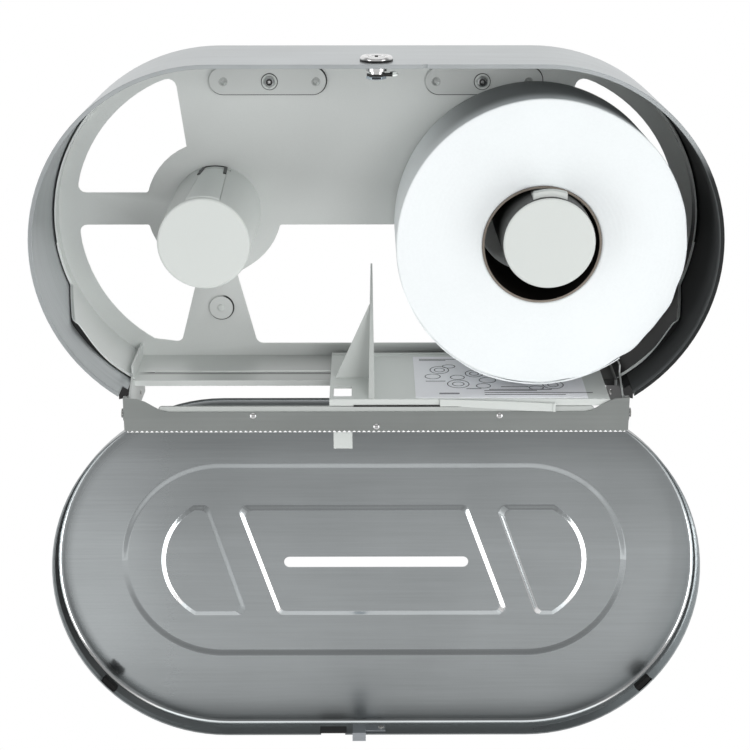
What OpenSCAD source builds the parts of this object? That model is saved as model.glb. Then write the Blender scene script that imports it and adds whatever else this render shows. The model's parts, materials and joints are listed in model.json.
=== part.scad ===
// Surface-mounted twin jumbo toilet roll dispenser, stainless steel, door hanging open.
// Frame in mm: +X to the right, +Y into the wall, +Z up. The wall face of the back plate is Y = 0.

/* [Cabinet] */
// outer width of the housing and of the door
cab_w = 529; // [440:1:620]
// outer height of the housing and of the door
cab_h = 281.5; // [250:0.5:330]
// depth of the housing side band from the wall
band_d = 110; // [100:1:125]
// thickness of the housing sheet
band_t = 1.2; // [0.8:0.1:2]
// thickness of the back plate sheet
plate_t = 1.5; // [1:0.1:2]
// depth of the flange that runs round the back plate
flange_d = 14; // [8:1:25]
// depth of the two lower corner flanges that carry the ears
corner_d = 62; // [50:1:75]

/* [Door] */
// depth of the drawn door from its rim to its outer face
door_d = 24.5; // [20:0.5:30]
// thickness of the door sheet
door_t = 1; // [0.8:0.1:1.5]
// angle by which the door is turned down from closed to its resting place
open_angle = 171.3; // [165:0.1:178]
// depth by which the middle field is drawn out, and height of the panels that stand on it
emboss = 1.6; // [0.8:0.1:3]
// width of the sloped step round the middle field
step_w = 6; // [3:0.2:9]
// height of the viewing slot in the door
slot_h = 9; // [5:0.5:14]

/* [Spindles and roll] */
// how far each spindle lies outwards of the middle of its round end
spindle_out = 6.65; // [0:0.05:10]
// height of the spindles above the middle of the cabinet
spindle_z = 8; // [0:0.5:12]
// radius of a spindle at its root
spindle_r = 36; // [30:0.5:38]
// room between the paper roll's rim and the housing's outer radius
roll_room = 28.25; // [28:0.25:50]
// width of the paper roll
roll_w = 88; // [70:1:92]
// inner radius of the cardboard core
core_r = 44.2; // [43.8:0.1:46]
// wall thickness of the cardboard core
core_t = 1.8; // [1:0.1:3]

// how far the right finger's hook stands proud of its spindle
hook_h = 5; // [3:0.2:6]

/* [Tissue slide] */
// how far the slide reaches to the left of the middle at rest
slide_left = 37; // [36:0.5:45]
// height of the fin above the slide's front edge
fin_h = 85; // [60:1:88]
// thickness of the slide floor
floor_t = 1.8; // [1.4:0.1:2.2]

/* [Tear bar] */
// spacing of the teeth
tooth_p = 3.9; // [3:0.1:6]
// depth of the teeth
tooth_d = 1.7; // [1:0.1:2.5]

/* [Wall holes] */
// radius of the wall screw holes in the raised pads
wall_hole_r = 2.65; // [2:0.05:4]
// how far the outer wall holes lie inwards of the middle of a round end
wall_out = 1.75; // [0:0.25:5]
// how far the inner wall holes lie inwards of the middle of a round end
wall_in = 75.75; // [64:0.25:78]
// distance of the wall holes below the top of the housing
wall_drop = 28.15; // [26:0.05:31]
// how far the pads stand proud of the back plate
pad_rise = 3; // [2:0.1:4]

/* [Hidden] */
$fn = 144;
r_out = cab_h / 2;
cx = (cab_w - cab_h) / 2;
front_y = -band_d;
fit = 0.06;

// the ears stand where the housing's round ends come down to the shelf
ear_in = cx + 0.51687 * r_out;
ear_t = 1.5;
ear_out = ear_in + ear_t;
shelf_z = -sqrt(pow(r_out - 4.2, 2) - pow(ear_in - cx, 2)) - 2.15;
shelf_x = ear_in - 8.5;
slope = 0.058;
rib_h = 0.5;

hinge_y = front_y + 13;
hinge_z = shelf_z - 17.3;
hinge_r = 2.5;
apron_t = 1.2;
apron_x = ear_out + apron_t;
apron_y = front_y + 4;
tip_z = shelf_z - 30.6;
arm_in = apron_x + 0.8;
arm_t = 1.2;
rivet_y = -28;
rivet_z = shelf_z - 24.3;
stop_at = [hinge_y + 11.57, hinge_z + 1.35];

rim_y = front_y - 0.5;
face_y = rim_y - door_d;
lock_y = front_y + 20;
slot_w = 2 * (cx - 47.25);

floor_back = -6;
floor_front = front_y + 5.3;
floor_z = shelf_z + 2.4;
rail_top = shelf_z - 9.2;
rail_y0 = front_y + 5;
rail_t = 2.2;
rail_x = apron_x - 27.2;
slide_x1 = shelf_x - 4;
fin_x = -5;

spindle_x = cx + spindle_out;
roll_r = r_out - roll_room;
roll_x = cx + 3.75;
roll_z = spindle_z + spindle_r - core_r + 0.9;
roll_y = -5.5;
nose_y = front_y - 8;
// a spindle's spring finger: front end, gap beside it, pivot seen from the spindle's axis
tip_y = nose_y + 3.9;
finger_gap = 0.4;
pivot = [-7, spindle_r - 7.6];
pivot_r = 1.6;

wall_z = r_out - wall_drop;
wall_x1 = cx - wall_out;
wall_x2 = cx - wall_in;
pad_x0 = wall_x2 - 8.2;
pad_x1 = wall_x1 + 11.2;
pad_z0 = wall_z - 10.2;
pad_z1 = wall_z + 11.4;
pad_wall = 1.5;
screw_x = (wall_x1 + wall_x2) / 2;
boss_x = spindle_x - 1.2;
boss_z = spindle_z + 57.15 - r_out;
trim_x = 0.488 * apron_x;
trim_z = shelf_z - 16.6;
mid_z = shelf_z - 25.8;

// Helpers
// 2D drawing in X and Z, extruded from y towards the viewer by t
module front(y, t) {
  translate([0, y, 0]) rotate([90, 0, 0]) linear_extrude(t) children();
}

// 2D drawing in Y and Z, extruded from x to the right by t
module side(x, t) {
  translate([x, 0, 0]) rotate([90, 0, 90]) linear_extrude(t) children();
}

module box(x0, x1, y0, y1, z0, z1) {
  translate([x0, y0, z0]) cube([x1 - x0, y1 - y0, z1 - z0]);
}

module pin_x(x0, x1, y, z, r) {
  translate([x0, y, z]) rotate([0, 90, 0]) cylinder(r = r, h = x1 - x0);
}

module pin_y(x, z, y0, y1, r) {
  translate([x, y1, z]) rotate([90, 0, 0]) cylinder(r = r, h = y1 - y0);
}

// stadium, its edge moved inwards by i
module stadium(i) {
  r = r_out - i;
  square([2 * cx, 2 * r], center = true);
  for (s = [-1, 1]) translate([s * cx, 0]) circle(r = r);
}

function unit(v) = v / norm(v);
// arc points about c from angle a to b in n steps
function arc(c, r, a, b, n) = [for (i = [0:n]) c + r * [cos(a + (b - a) * i / n), sin(a + (b - a) * i / n)]];
// corner i of polygon p, rounded by radius r
function corner(p, i, r) =
  let (
    n = len(p),
    q = p[i],
    u = unit(p[(i + n - 1) % n] - q),
    w = unit(p[(i + 1) % n] - q),
    h = acos(min(max(u * w, -1), 1)) / 2,
    d = r / tan(h),
    m = unit(u + w),
    c = q + m * (r / sin(h)),
    s = q + u * d - c,
    e = q + w * d - c,
    a0 = atan2(s[1], s[0]),
    a1 = atan2(e[1], e[0]),
    da = (a1 - a0 > 180) ? a1 - a0 - 360 : ((a1 - a0 < -180) ? a1 - a0 + 360 : a1 - a0)
  ) [for (k = [0:4]) c + r * [cos(a0 + da * k / 4), sin(a0 + da * k / 4)]];
// polygon whose points are [x, y, radius]; radius 0 keeps the point
function rounded(p) =
  let (q = [for (v = p) [v[0], v[1]]])
  [for (i = [0:len(p) - 1]) each (p[i][2] > 0 ? corner(q, i, p[i][2]) : [q[i]])];
function with_r(p, r) = [for (v = p) [v[0], v[1], r]];

// Back plate
hub = [-spindle_x - 2.1, spindle_z + 0.5];
hub_r = 55.5;
ring_c = [-cx, 0];
ring_r = r_out - 17.75;

// point of the left end's arc of radius r at height z
function on_ring(r, z) = [-cx - sqrt(r * r - z * z), z];
// point of the left hub at height z, on its left (s = -1) or right side
function on_hub(z, s) = [hub[0] + s * sqrt(hub_r * hub_r - (z - hub[1]) * (z - hub[1])), z];
function hub_at(a) = hub + hub_r * [cos(a), sin(a)];
function ang(c, p) = atan2(p[1] - c[1], p[0] - c[0]);
function plain(p, i, j) = [for (k = [i:j]) [p[k][0], p[k][1], 0]];

module window_upper() {
  a = on_ring(ring_r, r_out - 23.45);
  b = hub_at(104.4);
  c = on_hub(22, -1);
  d = on_ring(ring_r, 22);
  arc_h = arc(hub, hub_r, 104.4, ang(hub, c), 8);
  arc_r = arc(ring_c, ring_r, ang(ring_c, d), ang(ring_c, a), 16);
  polygon(rounded(concat(
    [[a[0], a[1], 7]], plain(arc_h, 1, 7), [[c[0], c[1], 2.5], [d[0], d[1], 6]], plain(arc_r, 2, 14)
  )));
}

module window_lower() {
  lr = r_out - 20.25;
  zb = shelf_z + 11.7;
  a = on_ring(lr, -4.8);
  b = on_hub(-4.8, -1);
  c = hub_at(-105.3);
  d = [c[0] - 0.267 * (c[1] - zb), zb];
  e = on_ring(lr - 1, zb);
  arc_h = arc(hub, hub_r, ang(hub, b), -105.3, 8);
  arc_r = arc(ring_c, lr, ang(ring_c, e), ang(ring_c, a), 16);
  polygon(rounded(concat(
    [[a[0], a[1], 6], [b[0], b[1], 2]], plain(arc_h, 1, 7), [[c[0], c[1], 1.5], [d[0], d[1], 5]],
    plain(arc_r, 1, 14)
  )));
}

module window_middle() {
  a = on_hub(-4.9, 1);
  b = hub_at(-64.9);
  e = shelf_z + 10.5;
  arc_l = arc(hub, hub_r, ang(hub, a), -64.9, 7);
  left = concat(
    [[a[0], a[1], 2]], plain(arc_l, 1, 6), [[b[0] - 6.4, b[1] - 4.5, 2.5]],
    [[b[0] - 6.4 + 0.26 * (b[1] - 4.5 - e), e, 6]]
  );
  n = len(left);
  right = [for (i = [n - 1:-1:0]) [-left[i][0], left[i][1], left[i][2]]];
  polygon(rounded(concat(left, right)));
}

module plate_outline() {
  intersection() {
    stadium(band_t);
    translate([-cab_w, shelf_z - plate_t]) square([2 * cab_w, 2 * cab_h]);
  }
}

module plate_sheet() {
  front(0, plate_t) difference() {
    plate_outline();
    for (m = [0, 1]) mirror([m, 0]) {
      window_upper();
      window_lower();
      pad_shape(pad_wall);
      translate([boss_x, boss_z]) circle(r = 8.4);
      translate([spindle_x, spindle_z]) circle(r = 2.2);
    }
    window_middle();
  }
}

// outline of a raised pad with round ends, its edge moved inwards by i
module pad_shape(i) {
  r = (pad_z1 - pad_z0) / 2;
  translate([pad_x0 + r, pad_z0 + i]) square([pad_x1 - pad_x0 - 2 * r, 2 * (r - i)]);
  for (x = [pad_x0 + r, pad_x1 - r]) translate([x, pad_z0 + r]) circle(r = r - i);
}

// raised pad that takes the wall screws
module pad() {
  difference() {
    front(0, plate_t + pad_rise) pad_shape(0);
    front(0.1, pad_rise + 0.1) pad_shape(pad_wall);
    for (x = [wall_x1, wall_x2]) pin_y(x, wall_z, -10, 1, wall_hole_r);
    pin_y(screw_x, wall_z, -10, 1, 4.2);
  }
}

module boss() {
  difference() {
    pin_y(boss_x, boss_z, -3.4, 0, 9.8);
    pin_y(boss_x, boss_z, -1.9, 1, 8.4);
    pin_y(boss_x, boss_z, -10, 1, 2);
  }
}

module flange_ring() {
  difference() {
    front(0, corner_d) difference() {
      stadium(2.7);
      stadium(2.7 + plate_t);
    }
    side(-cab_w, 2 * cab_w) polygon([
      [-flange_d, 2 * cab_h], [-flange_d, shelf_z + 64.9], [-corner_d + 2, shelf_z + 47.9],
      [-corner_d, shelf_z + 45.2], [-corner_d, -2 * cab_h], [-300, -2 * cab_h], [-300, 2 * cab_h]
    ]);
    box(-ear_in - 0.2, ear_in + 0.2, -200, 1, -cab_h, shelf_z + 58);
    box(-cab_w, cab_w, -200, 1, -cab_h, shelf_z - 0.3);
  }
}

module ear() {
  z = shelf_z;
  side(ear_in, ear_t) difference() {
    union() {
      polygon([
        [0, z + 10.7], [-corner_d, z + 10.7], [-corner_d, z + 4.5], [hinge_y + 11, z - 9.3],
        [hinge_y + 1, hinge_z + 7.4], [hinge_y - 2, hinge_z - 7.2], [hinge_y + 7, hinge_z - 8.2],
        [-60, z - 28.3], [-22, z - 32.8], [0, z - 32.8]
      ]);
      translate([hinge_y, hinge_z]) circle(r = 7.5);
    }
    translate([hinge_y, hinge_z]) circle(r = hinge_r);
    translate([rivet_y, rivet_z]) circle(r = 1.6);
    translate(stop_at) circle(r = 1.6);
  }
}

// height of the shelf's upper side
function sz(y) = shelf_z + slope * y;

// shelf that runs forward from the foot of the plate, with the slide's guide slot
module shelf() {
  x = shelf_x;
  w = ear_in + 0.5;
  difference() {
    side(-w, 2 * w) polygon([
      [0, sz(0)], [-56, sz(-56)], [-57.4, sz(-56) - 0.4], [-57.4, sz(-56) - 5.1], [-56, sz(-56) - 5.1],
      [-56, sz(-56) - plate_t], [0, sz(0) - plate_t]
    ]);
    side(-x, 2 * x) polygon([
      [-26.5, sz(-26.5) + 1], [-26.5, sz(-26.5) - plate_t - 1], [-36.5, sz(-36.5) - plate_t - 1],
      [-36.5, sz(-36.5) + 1]
    ]);
    box(6 - x, x - 6, -41, -38, sz(0) - 20, sz(0) + 20);
  }
  side(-x - 0.4, 2 * x + 0.8) polygon([
    [-26, sz(-26)], [-26.5, sz(-26.5)], [-28, sz(-28) + rib_h], [-35, sz(-35) + rib_h],
    [-36.5, sz(-36.5)], [-37, sz(-37)], [-37, sz(-37) - plate_t], [-36.5, sz(-36.5) - plate_t],
    [-35, sz(-35) + rib_h - plate_t], [-28, sz(-28) + rib_h - plate_t], [-26.5, sz(-26.5) - plate_t],
    [-26, sz(-26) - plate_t]
  ]);
}

module back_plate() {
  color([0.74, 0.75, 0.74]) {
    plate_sheet();
    flange_ring();
    shelf();
    for (m = [0, 1]) mirror([m, 0, 0]) {
      pad();
      boss();
      ear();
    }
  }
}

// Housing band
module housing_band() {
  color([0.68, 0.70, 0.71]) difference() {
    union() {
      front(0, band_d) difference() {
        stadium(0);
        stadium(band_t);
      }
      front(-band_d + 6, 6) difference() {
        stadium(0);
        stadium(3.2);
      }
    }
    box(-arm_in - arm_t - 0.8, arm_in + arm_t + 0.8, -200, hinge_y + 12, -cab_h, 0);
    box(-ear_out, ear_out, hinge_y + 11, 1, -cab_h, 0);
    translate([0, lock_y, r_out - 20]) cylinder(r = 8.1, h = 40);
    box(34.5, 37.5, front_y - 1, front_y + 2.5, r_out - 10, r_out + 10);
  }
}

// Spindles
// tapered block that holds the latch, from depth y0 to the tip, g wider all round
module latch_prism(g, y0) {
  translate([0, 0, spindle_z]) linear_extrude(spindle_r + 20) polygon([
    [-9.9 - g, -y0], [9.9 + g, -y0], [12.8 + g, tip_y - 1], [-12.8 - g, tip_y - 1]
  ]);
}

// revolved spindle shell about Y, drawn at x = 0
module spindle_shell() {
  n = -nose_y;
  translate([0, 0, spindle_z]) rotate([90, 0, 0]) rotate_extrude() polygon([
    [spindle_r - 2.5, plate_t], [spindle_r, plate_t], [spindle_r - 0.8, n - 2.2],
    [spindle_r - 1.3, n - 0.7], [spindle_r - 2.4, n], [0, n], [0, n - 2.2], [spindle_r - 3.3, n - 2.2]
  ]);
}

module spindle_post() {
  translate([0, 0, spindle_z]) rotate([90, 0, 0]) rotate_extrude() polygon([
    [1.7, plate_t], [spindle_r - 1, plate_t], [spindle_r - 1, plate_t + 2.5], [8, plate_t + 2.5],
    [6, plate_t + 22], [1.7, plate_t + 22]
  ]);
}

// lug on the base that carries the finger's round bar
module finger_lug() {
  r = pivot_r + 1.3;
  side(-1, 2) difference() {
    union() {
      translate([pivot[0], spindle_z + pivot[1]]) circle(r = r);
      translate([pivot[0], spindle_z + pivot[1] - r]) square([4, 2 * r]);
      translate([pivot[0] - r, spindle_z + pivot[1] - 2 * r]) square([4 + r, 2 * r]);
    }
    translate([pivot[0], spindle_z + pivot[1]]) circle(r = pivot_r + fit);
  }
}

module spindle() {
  color([0.86, 0.88, 0.87]) {
    difference() {
      union() {
        spindle_shell();
        spindle_post();
      }
      intersection() {
        latch_prism(finger_gap, 9.6);
        box(-50, 50, tip_y - 0.7, 0, spindle_z + spindle_r - 8, spindle_z + spindle_r + 10);
      }
      for (s = [-1, 1])
        box(s * 11.4 - 1.7, s * 11.4 + 1.7, -12, -5.5, spindle_z + spindle_r - 12, spindle_z + spindle_r + 4);
    }
    for (s = [-1, 1]) translate([s * 6, 0, 0]) finger_lug();
  }
}

// spring finger let into the top of a spindle, its hook standing proud by up;
// a round bar at its root turns in the two lugs
module latch(up) {
  r = spindle_r;
  e = -tip_y;
  color([0.84, 0.86, 0.85]) {
    difference() {
      intersection() {
        latch_prism(0, 4.6);
        translate([0, 0, spindle_z]) rotate([90, 0, 0]) rotate_extrude() polygon([
          [r - 7, 4.6], [r - 3.2, 4.6], [r - 3.2, 10.4], [r - 0.1, 10.4],
          [r - 0.4, e - 15], [r - 0.8 + up, e - 4.5], [r - 0.8 + up, e - 1.4], [r - 1.6 + up, e],
          [r - 3.4, e], [r - 3.1, 13], [r - 7, 10]
        ]);
        box(-50, 50, -200, 0, spindle_z + r - 20, spindle_z + r + 20);
      }
      for (s = [-1, 1])
        box(s * 6 - 1.6, s * 6 + 1.6, -11, -4, spindle_z + r - 14, spindle_z + r - 4.1);
    }
    pin_x(-9.4, 9.4, pivot[0], spindle_z + pivot[1], pivot_r);
  }
}

module left_spindle() {
  translate([-spindle_x, 0, 0]) spindle();
}

module right_spindle() {
  translate([spindle_x, 0, 0]) spindle();
}

module left_latch() {
  translate([-spindle_x, 0, 0]) latch(0.6);
}

module right_latch() {
  translate([spindle_x, 0, 0]) latch(hook_h);
}

// countersunk screw driven from behind the plate
module spindle_screw() {
  color([0.7, 0.7, 0.7]) translate([0, 0, spindle_z]) rotate([90, 0, 0]) rotate_extrude() polygon([
    [0, 0.2], [2.2, 0.2], [2.2, plate_t], [1.7, plate_t], [1.7, 20], [0, 21]
  ]);
}

module left_spindle_screw() {
  translate([-spindle_x, 0, 0]) spindle_screw();
}

module right_spindle_screw() {
  translate([spindle_x, 0, 0]) spindle_screw();
}

// Pad fixings
module pad_washer() {
  f = plate_t + pad_rise;
  color([0.62, 0.63, 0.62]) translate([0, 0, wall_z]) rotate([90, 0, 0]) rotate_extrude() polygon([
    [2.1, 0.4], [4.2, 0.4], [4.2, f], [6.7, f], [6.7, f + 0.4], [6.2, f + 0.9], [2.1, f + 0.9]
  ]);
}

module pad_screw() {
  f = plate_t + pad_rise;
  color([0.55, 0.55, 0.54]) difference() {
    translate([0, 0, wall_z]) rotate([90, 0, 0]) rotate_extrude() polygon([
      [0, 0.4], [2.1, 0.4], [2.1, f + 0.9], [4.3, f + 0.9], [4.1, f + 2.1], [2.9, f + 3.1], [0, f + 3.5]
    ]);
    for (a = [0, 90]) translate([0, -f - 2.6, wall_z]) rotate([0, a, 0])
      translate([-2.3, -2, -0.4]) cube([4.6, 3, 0.8]);
  }
}

module left_pad_washer() {
  translate([-screw_x, 0, 0]) pad_washer();
}

module right_pad_washer() {
  translate([screw_x, 0, 0]) pad_washer();
}

module left_pad_screw() {
  translate([-screw_x, 0, 0]) pad_screw();
}

module right_pad_screw() {
  translate([screw_x, 0, 0]) pad_screw();
}

module boss_button() {
  color([0.8, 0.8, 0.8]) translate([0, 0, boss_z]) rotate([90, 0, 0]) rotate_extrude() polygon([
    [0, 0.3], [3.4, 0.3], [3.4, 1.9], [2, 1.9], [2, 3.4], [3, 3.4], [2.8, 4.2], [1.6, 4.7], [0, 4.8]
  ]);
}

module left_boss_button() {
  translate([-boss_x, 0, 0]) boss_button();
}

module right_boss_button() {
  translate([boss_x, 0, 0]) boss_button();
}

// Tear bar
tooth_n = floor(2 * (apron_x - 1) / tooth_p);

module tear_face() {
  z = shelf_z;
  w = tooth_n * tooth_p / 2;
  teeth = [for (i = [0:tooth_n - 1]) each [
    [-w + i * tooth_p, tip_z + tooth_d], [-w + (i + 0.5) * tooth_p, tip_z]
  ]];
  // the top edge, rising towards each end
  rise = [[0, -1.6], [11.2, -2.5], [17.2, -4.9], [25.2, -9.7], [29.2, -12], [35.2, -13.4]];
  polygon(concat(
    [[-apron_x, tip_z + tooth_d]], teeth, [[w, tip_z + tooth_d], [apron_x, tip_z + tooth_d]],
    [for (p = rise) [apron_x - p[0], z + p[1]]],
    [for (k = [5:-1:0]) [rise[k][0] - apron_x, z + rise[k][1]]]
  ));
}

module rivet_holes() {
  for (x = [-trim_x, trim_x]) translate([x, trim_z]) circle(r = 1.6);
  translate([0, mid_z]) circle(r = 1.6);
}

module tear_return() {
  z = shelf_z;
  side(ear_out, apron_t) difference() {
    polygon([
      [apron_y, z - 1.6], [apron_y + 5, z - 1.6], [apron_y + 18, z - 6.8], [-40, z - 18.3],
      [-24, z - 19.5], [-21, z - 22.3], [-21, z - 26.3], [-24, z - 28.9], [apron_y, z - 28.9]
    ]);
    translate([hinge_y, hinge_z]) circle(r = hinge_r);
    translate([rivet_y, rivet_z]) circle(r = 1.6);
    translate(stop_at) circle(r = 1.6);
  }
}

module tear_bar() {
  color([0.66, 0.68, 0.69]) {
    front(apron_y + 1, 1) difference() {
      tear_face();
      rivet_holes();
    }
    for (m = [0, 1]) mirror([m, 0, 0]) tear_return();
  }
}

module front_rail() {
  color([0.88, 0.89, 0.88]) front(rail_y0 + rail_t, rail_t) difference() {
    polygon(rounded([
      [-rail_x, shelf_z - 27.3, 1], [rail_x, shelf_z - 27.3, 1], [rail_x, rail_top, 3],
      [-rail_x, rail_top, 3]
    ]));
    rivet_holes();
  }
}

// round-headed rivet along Y, head at the viewer's side
module rivet_y_at(x, z) {
  f = -apron_y;
  b = -rail_y0 - rail_t;
  translate([x, 0, z]) rotate([90, 0, 0]) rotate_extrude() polygon([
    [0, b - 1.2], [2.6, b - 1.2], [2.6, b], [1.6, b], [1.6, f], [2.7, f], [2.3, f + 0.7],
    [1.4, f + 1.1], [0, f + 1.2]
  ]);
}

module tear_bar_rivets() {
  color([0.8, 0.8, 0.8]) {
    rivet_y_at(-trim_x, trim_z);
    rivet_y_at(trim_x, trim_z);
    rivet_y_at(0, mid_z);
  }
}

module ear_rivet() {
  color([0.8, 0.8, 0.8]) translate([0, rivet_y, rivet_z]) rotate([0, 90, 0]) rotate_extrude() polygon([
    [0, ear_in - 0.9], [1.8, ear_in - 0.9], [2.6, ear_in], [1.6, ear_in], [1.6, apron_x],
    [2.7, apron_x], [2.3, apron_x + 0.9], [0, apron_x + 1.1]
  ]);
}

module left_ear_rivet() {
  mirror([1, 0, 0]) ear_rivet();
}

module right_ear_rivet() {
  ear_rivet();
}

module hinge_pin() {
  color([0.75, 0.75, 0.75]) translate([0, hinge_y, hinge_z]) rotate([0, 90, 0]) rotate_extrude() polygon([
    [0, ear_in - 1.5], [3.6, ear_in - 1.5], [4.4, ear_in - 0.8], [4.4, ear_in], [hinge_r, ear_in],
    [hinge_r, arm_in + arm_t + 0.35], [3.9, arm_in + arm_t + 0.35], [3.5, arm_in + arm_t + 0.75],
    [2, arm_in + arm_t + 1], [0, arm_in + arm_t + 1.05]
  ]);
}

module left_hinge_pin() {
  mirror([1, 0, 0]) hinge_pin();
}

module right_hinge_pin() {
  hinge_pin();
}

module hinge_washer() {
  color([0.9, 0.9, 0.88]) difference() {
    pin_x(apron_x, apron_x + 0.5, hinge_y, hinge_z, 5.2);
    pin_x(apron_x - 1, apron_x + 2, hinge_y, hinge_z, hinge_r);
  }
}

module left_hinge_washer() {
  mirror([1, 0, 0]) hinge_washer();
}

module right_hinge_washer() {
  hinge_washer();
}

module stop_pin() {
  color([0.75, 0.75, 0.75]) translate([0, stop_at[0], stop_at[1]]) rotate([0, 90, 0]) rotate_extrude()
    polygon([
      [0, ear_in - 0.8], [2.4, ear_in - 0.8], [2.4, ear_in], [1.6, ear_in], [1.6, apron_x],
      [2.2, apron_x], [2.2, arm_in + arm_t + 0.6], [1.8, arm_in + arm_t + 1], [0, arm_in + arm_t + 1]
    ]);
}

module left_stop_pin() {
  mirror([1, 0, 0]) stop_pin();
}

module right_stop_pin() {
  stop_pin();
}

// Lock
module turned(z0) {
  translate([0, lock_y, 0]) rotate_extrude() children();
}

module lock_body() {
  color([0.85, 0.85, 0.85]) difference() {
    turned(0) polygon([
      [6.2 + fit, r_out - 7.35], [8, r_out - 7.35], [8, r_out], [12.2, r_out], [12.2, r_out + 2.4],
      [11.2, r_out + 3.8], [8.6, r_out + 4], [8, r_out + 3.4], [6.2 + fit, r_out + 3.4]
    ]);
  }
}

module lock_nut() {
  color([0.72, 0.72, 0.72]) difference() {
    translate([0, lock_y, r_out - 4.55]) cylinder(r = 12.2, h = 4.55 - band_t, $fn = 6);
    translate([0, lock_y, r_out - 10]) cylinder(r = 8, h = 20);
  }
}

module lock_plug() {
  color([0.8, 0.8, 0.8]) difference() {
    turned(0) polygon([
      [0, r_out - 14.05], [2, r_out - 14.05], [2.5, r_out - 13.55], [2.5, r_out - 9.35],
      [6.2, r_out - 9.35], [6.2, r_out + 3.6],
      [5.6, r_out + 4], [0, r_out + 4]
    ]);
    translate([-3.6, lock_y - 0.8, r_out + 1]) cube([7.2, 1.6, 5]);
    translate([-1.2, lock_y - 6.6, r_out + 1.6]) cube([2.4, 6, 5]);
  }
}

module lock_cam() {
  color([0.8, 0.8, 0.78]) translate([0, lock_y, r_out - 10.95]) difference() {
    union() {
      cylinder(r = 7.2, h = 1.6);
      translate([0, -4.6, 0]) cube([11.4, 9.2, 1.6]);
      translate([11.4, 0, 0]) cylinder(r = 4.6, h = 1.6);
      translate([12.6, 0, 0]) cylinder(r = 2.6, h = 2.8);
    }
    translate([0, 0, -1]) cylinder(r = 2.5, h = 4);
  }
}

module cam_nut() {
  color([0.7, 0.7, 0.7]) difference() {
    translate([0, lock_y, r_out - 13.15]) cylinder(r = 7.6, h = 2.2, $fn = 6);
    translate([0, lock_y, r_out - 16]) cylinder(r = 2.5, h = 6);
  }
}

// Door
// closed position to the open one in which the door rests
module opened() {
  translate([0, hinge_y, hinge_z]) rotate([open_angle, 0, 0]) translate([0, -hinge_y, -hinge_z])
    children();
}

// rim profile as [inset, depth from the rim] of a sheet with a bevelled edge
function rim_profile() = let (b = 4, k = 0.414 * door_t) [
  [0, 0], [0, door_d - b], [b, door_d], [12, door_d], [12, door_d - door_t],
  [b + k, door_d - door_t], [door_t, door_d - b - k], [door_t, 0]
];

module rim_half() {
  p = [for (v = rim_profile()) [r_out - v[0], v[1]]];
  translate([cx, rim_y, 0]) rotate([90, 0, 0]) rotate([0, 0, -90]) rotate_extrude(angle = 180)
    polygon(p);
}

module rim_straight() {
  p = [for (v = rim_profile()) [rim_y - v[1], r_out - v[0]]];
  side(-cx, 2 * cx) polygon(p);
}

module face_field() {
  front(face_y + door_t, door_t) difference() {
    stadium(11.9);
    field(0);
  }
  front(face_y - emboss + door_t, door_t) field(step_w);
}

// step profile as [inset, depth from the rim], with a short flat part at each edge
function step_profile() = let (a = door_d - door_t, b = a + emboss, c = door_t) [
  [-0.3, a], [0, a], [step_w, b], [step_w + 0.3, b], [step_w + 0.3, b + c], [step_w, b + c],
  [0, a + c], [-0.3, a + c]
];

module step_half() {
  p = [for (v = step_profile()) [field_r - v[0], v[1]]];
  translate([field_x, rim_y, field_z]) rotate([90, 0, 0]) rotate([0, 0, -90])
    rotate_extrude(angle = 180) polygon(p);
}

module step_straight() {
  p = [for (v = step_profile()) [rim_y - v[1], field_r - v[0]]];
  translate([0, 0, field_z]) side(-field_x, 2 * field_x) polygon(p);
}

// panel that stands on the sunk field, level with the door's face
module lifted() {
  front(face_y + door_t, door_t + emboss) children();
}

module hollowed() {
  front(face_y, emboss + 1) children();
}

panel_lo = 90.75 - r_out;
panel_hi = r_out - 95.25;
lean = 0.335;

// half-round panel at the left (s = -1) or right end, its edge moved inwards by g
function d_points(s, g) =
  let (c = [s * (cx - 1.75), -2], r = r_out - 85.75 - g, z0 = panel_lo + g, z1 = panel_hi - g,
       x0 = (s < 0 ? -cx - 13.75 : cx - 20.35), k = s * 1.055 * g,
       a0 = s < 0 ? 180 + asin((c[1] - z0) / r) : -asin((c[1] - z0) / r),
       a1 = s < 0 ? 180 - asin((z1 - c[1]) / r) : asin((z1 - c[1]) / r),
       p = arc(c, r, a0, a1, 14),
       q0 = [x0 + lean * (z0 - panel_lo) + k, z0],
       q1 = [x0 + lean * (z1 - panel_lo) + k, z1])
  concat([for (i = [0:14]) [p[i][0], p[i][1], 0]], [[q1[0], q1[1], 5], [q0[0], q0[1], 5]]);

module d_panel(s, g) {
  polygon(rounded(d_points(s, g)));
}

module mid_panel(g) {
  k = 1.055 * g;
  polygon(rounded([
    [12.85 - cx + k + lean * g, panel_lo + g, 5], [cx - 48.55 - k + lean * g, panel_lo + g, 5],
    [cx - 17.25 - k - lean * g, panel_hi - g, 5], [44.15 - cx + k - lean * g, panel_hi - g, 5]
  ]));
}

field_r = r_out - 57.45;
field_x = cx + 2.95;
field_z = -2.7;

// middle field, its edge moved inwards by i
module field(i) {
  r = field_r - i;
  translate([0, field_z]) {
    square([2 * field_x, 2 * r], center = true);
    for (s = [-1, 1]) translate([s * field_x, 0]) circle(r = r);
  }
}

// arm that carries the door on its pin; w is where the door's side wall meets it
module hinge_arm() {
  w = -sqrt(r_out * r_out - pow(arm_in - cx, 2));
  side(arm_in, arm_t) difference() {
    union() {
      translate([hinge_y, hinge_z]) circle(r = 6.4);
      polygon([
        [hinge_y - 4.4, hinge_z - 4.8], [hinge_y + 4.6, hinge_z + 4.6], [front_y + 2, w - 2.7],
        [rim_y - 0.5, w - 1.2], [rim_y - 0.5, w + 2.3], [rim_y - 18.5, w + 2.3], [rim_y - 18.5, w - 2.2]
      ]);
    }
    translate([hinge_y, hinge_z]) circle(r = hinge_r + fit);
  }
}

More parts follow.
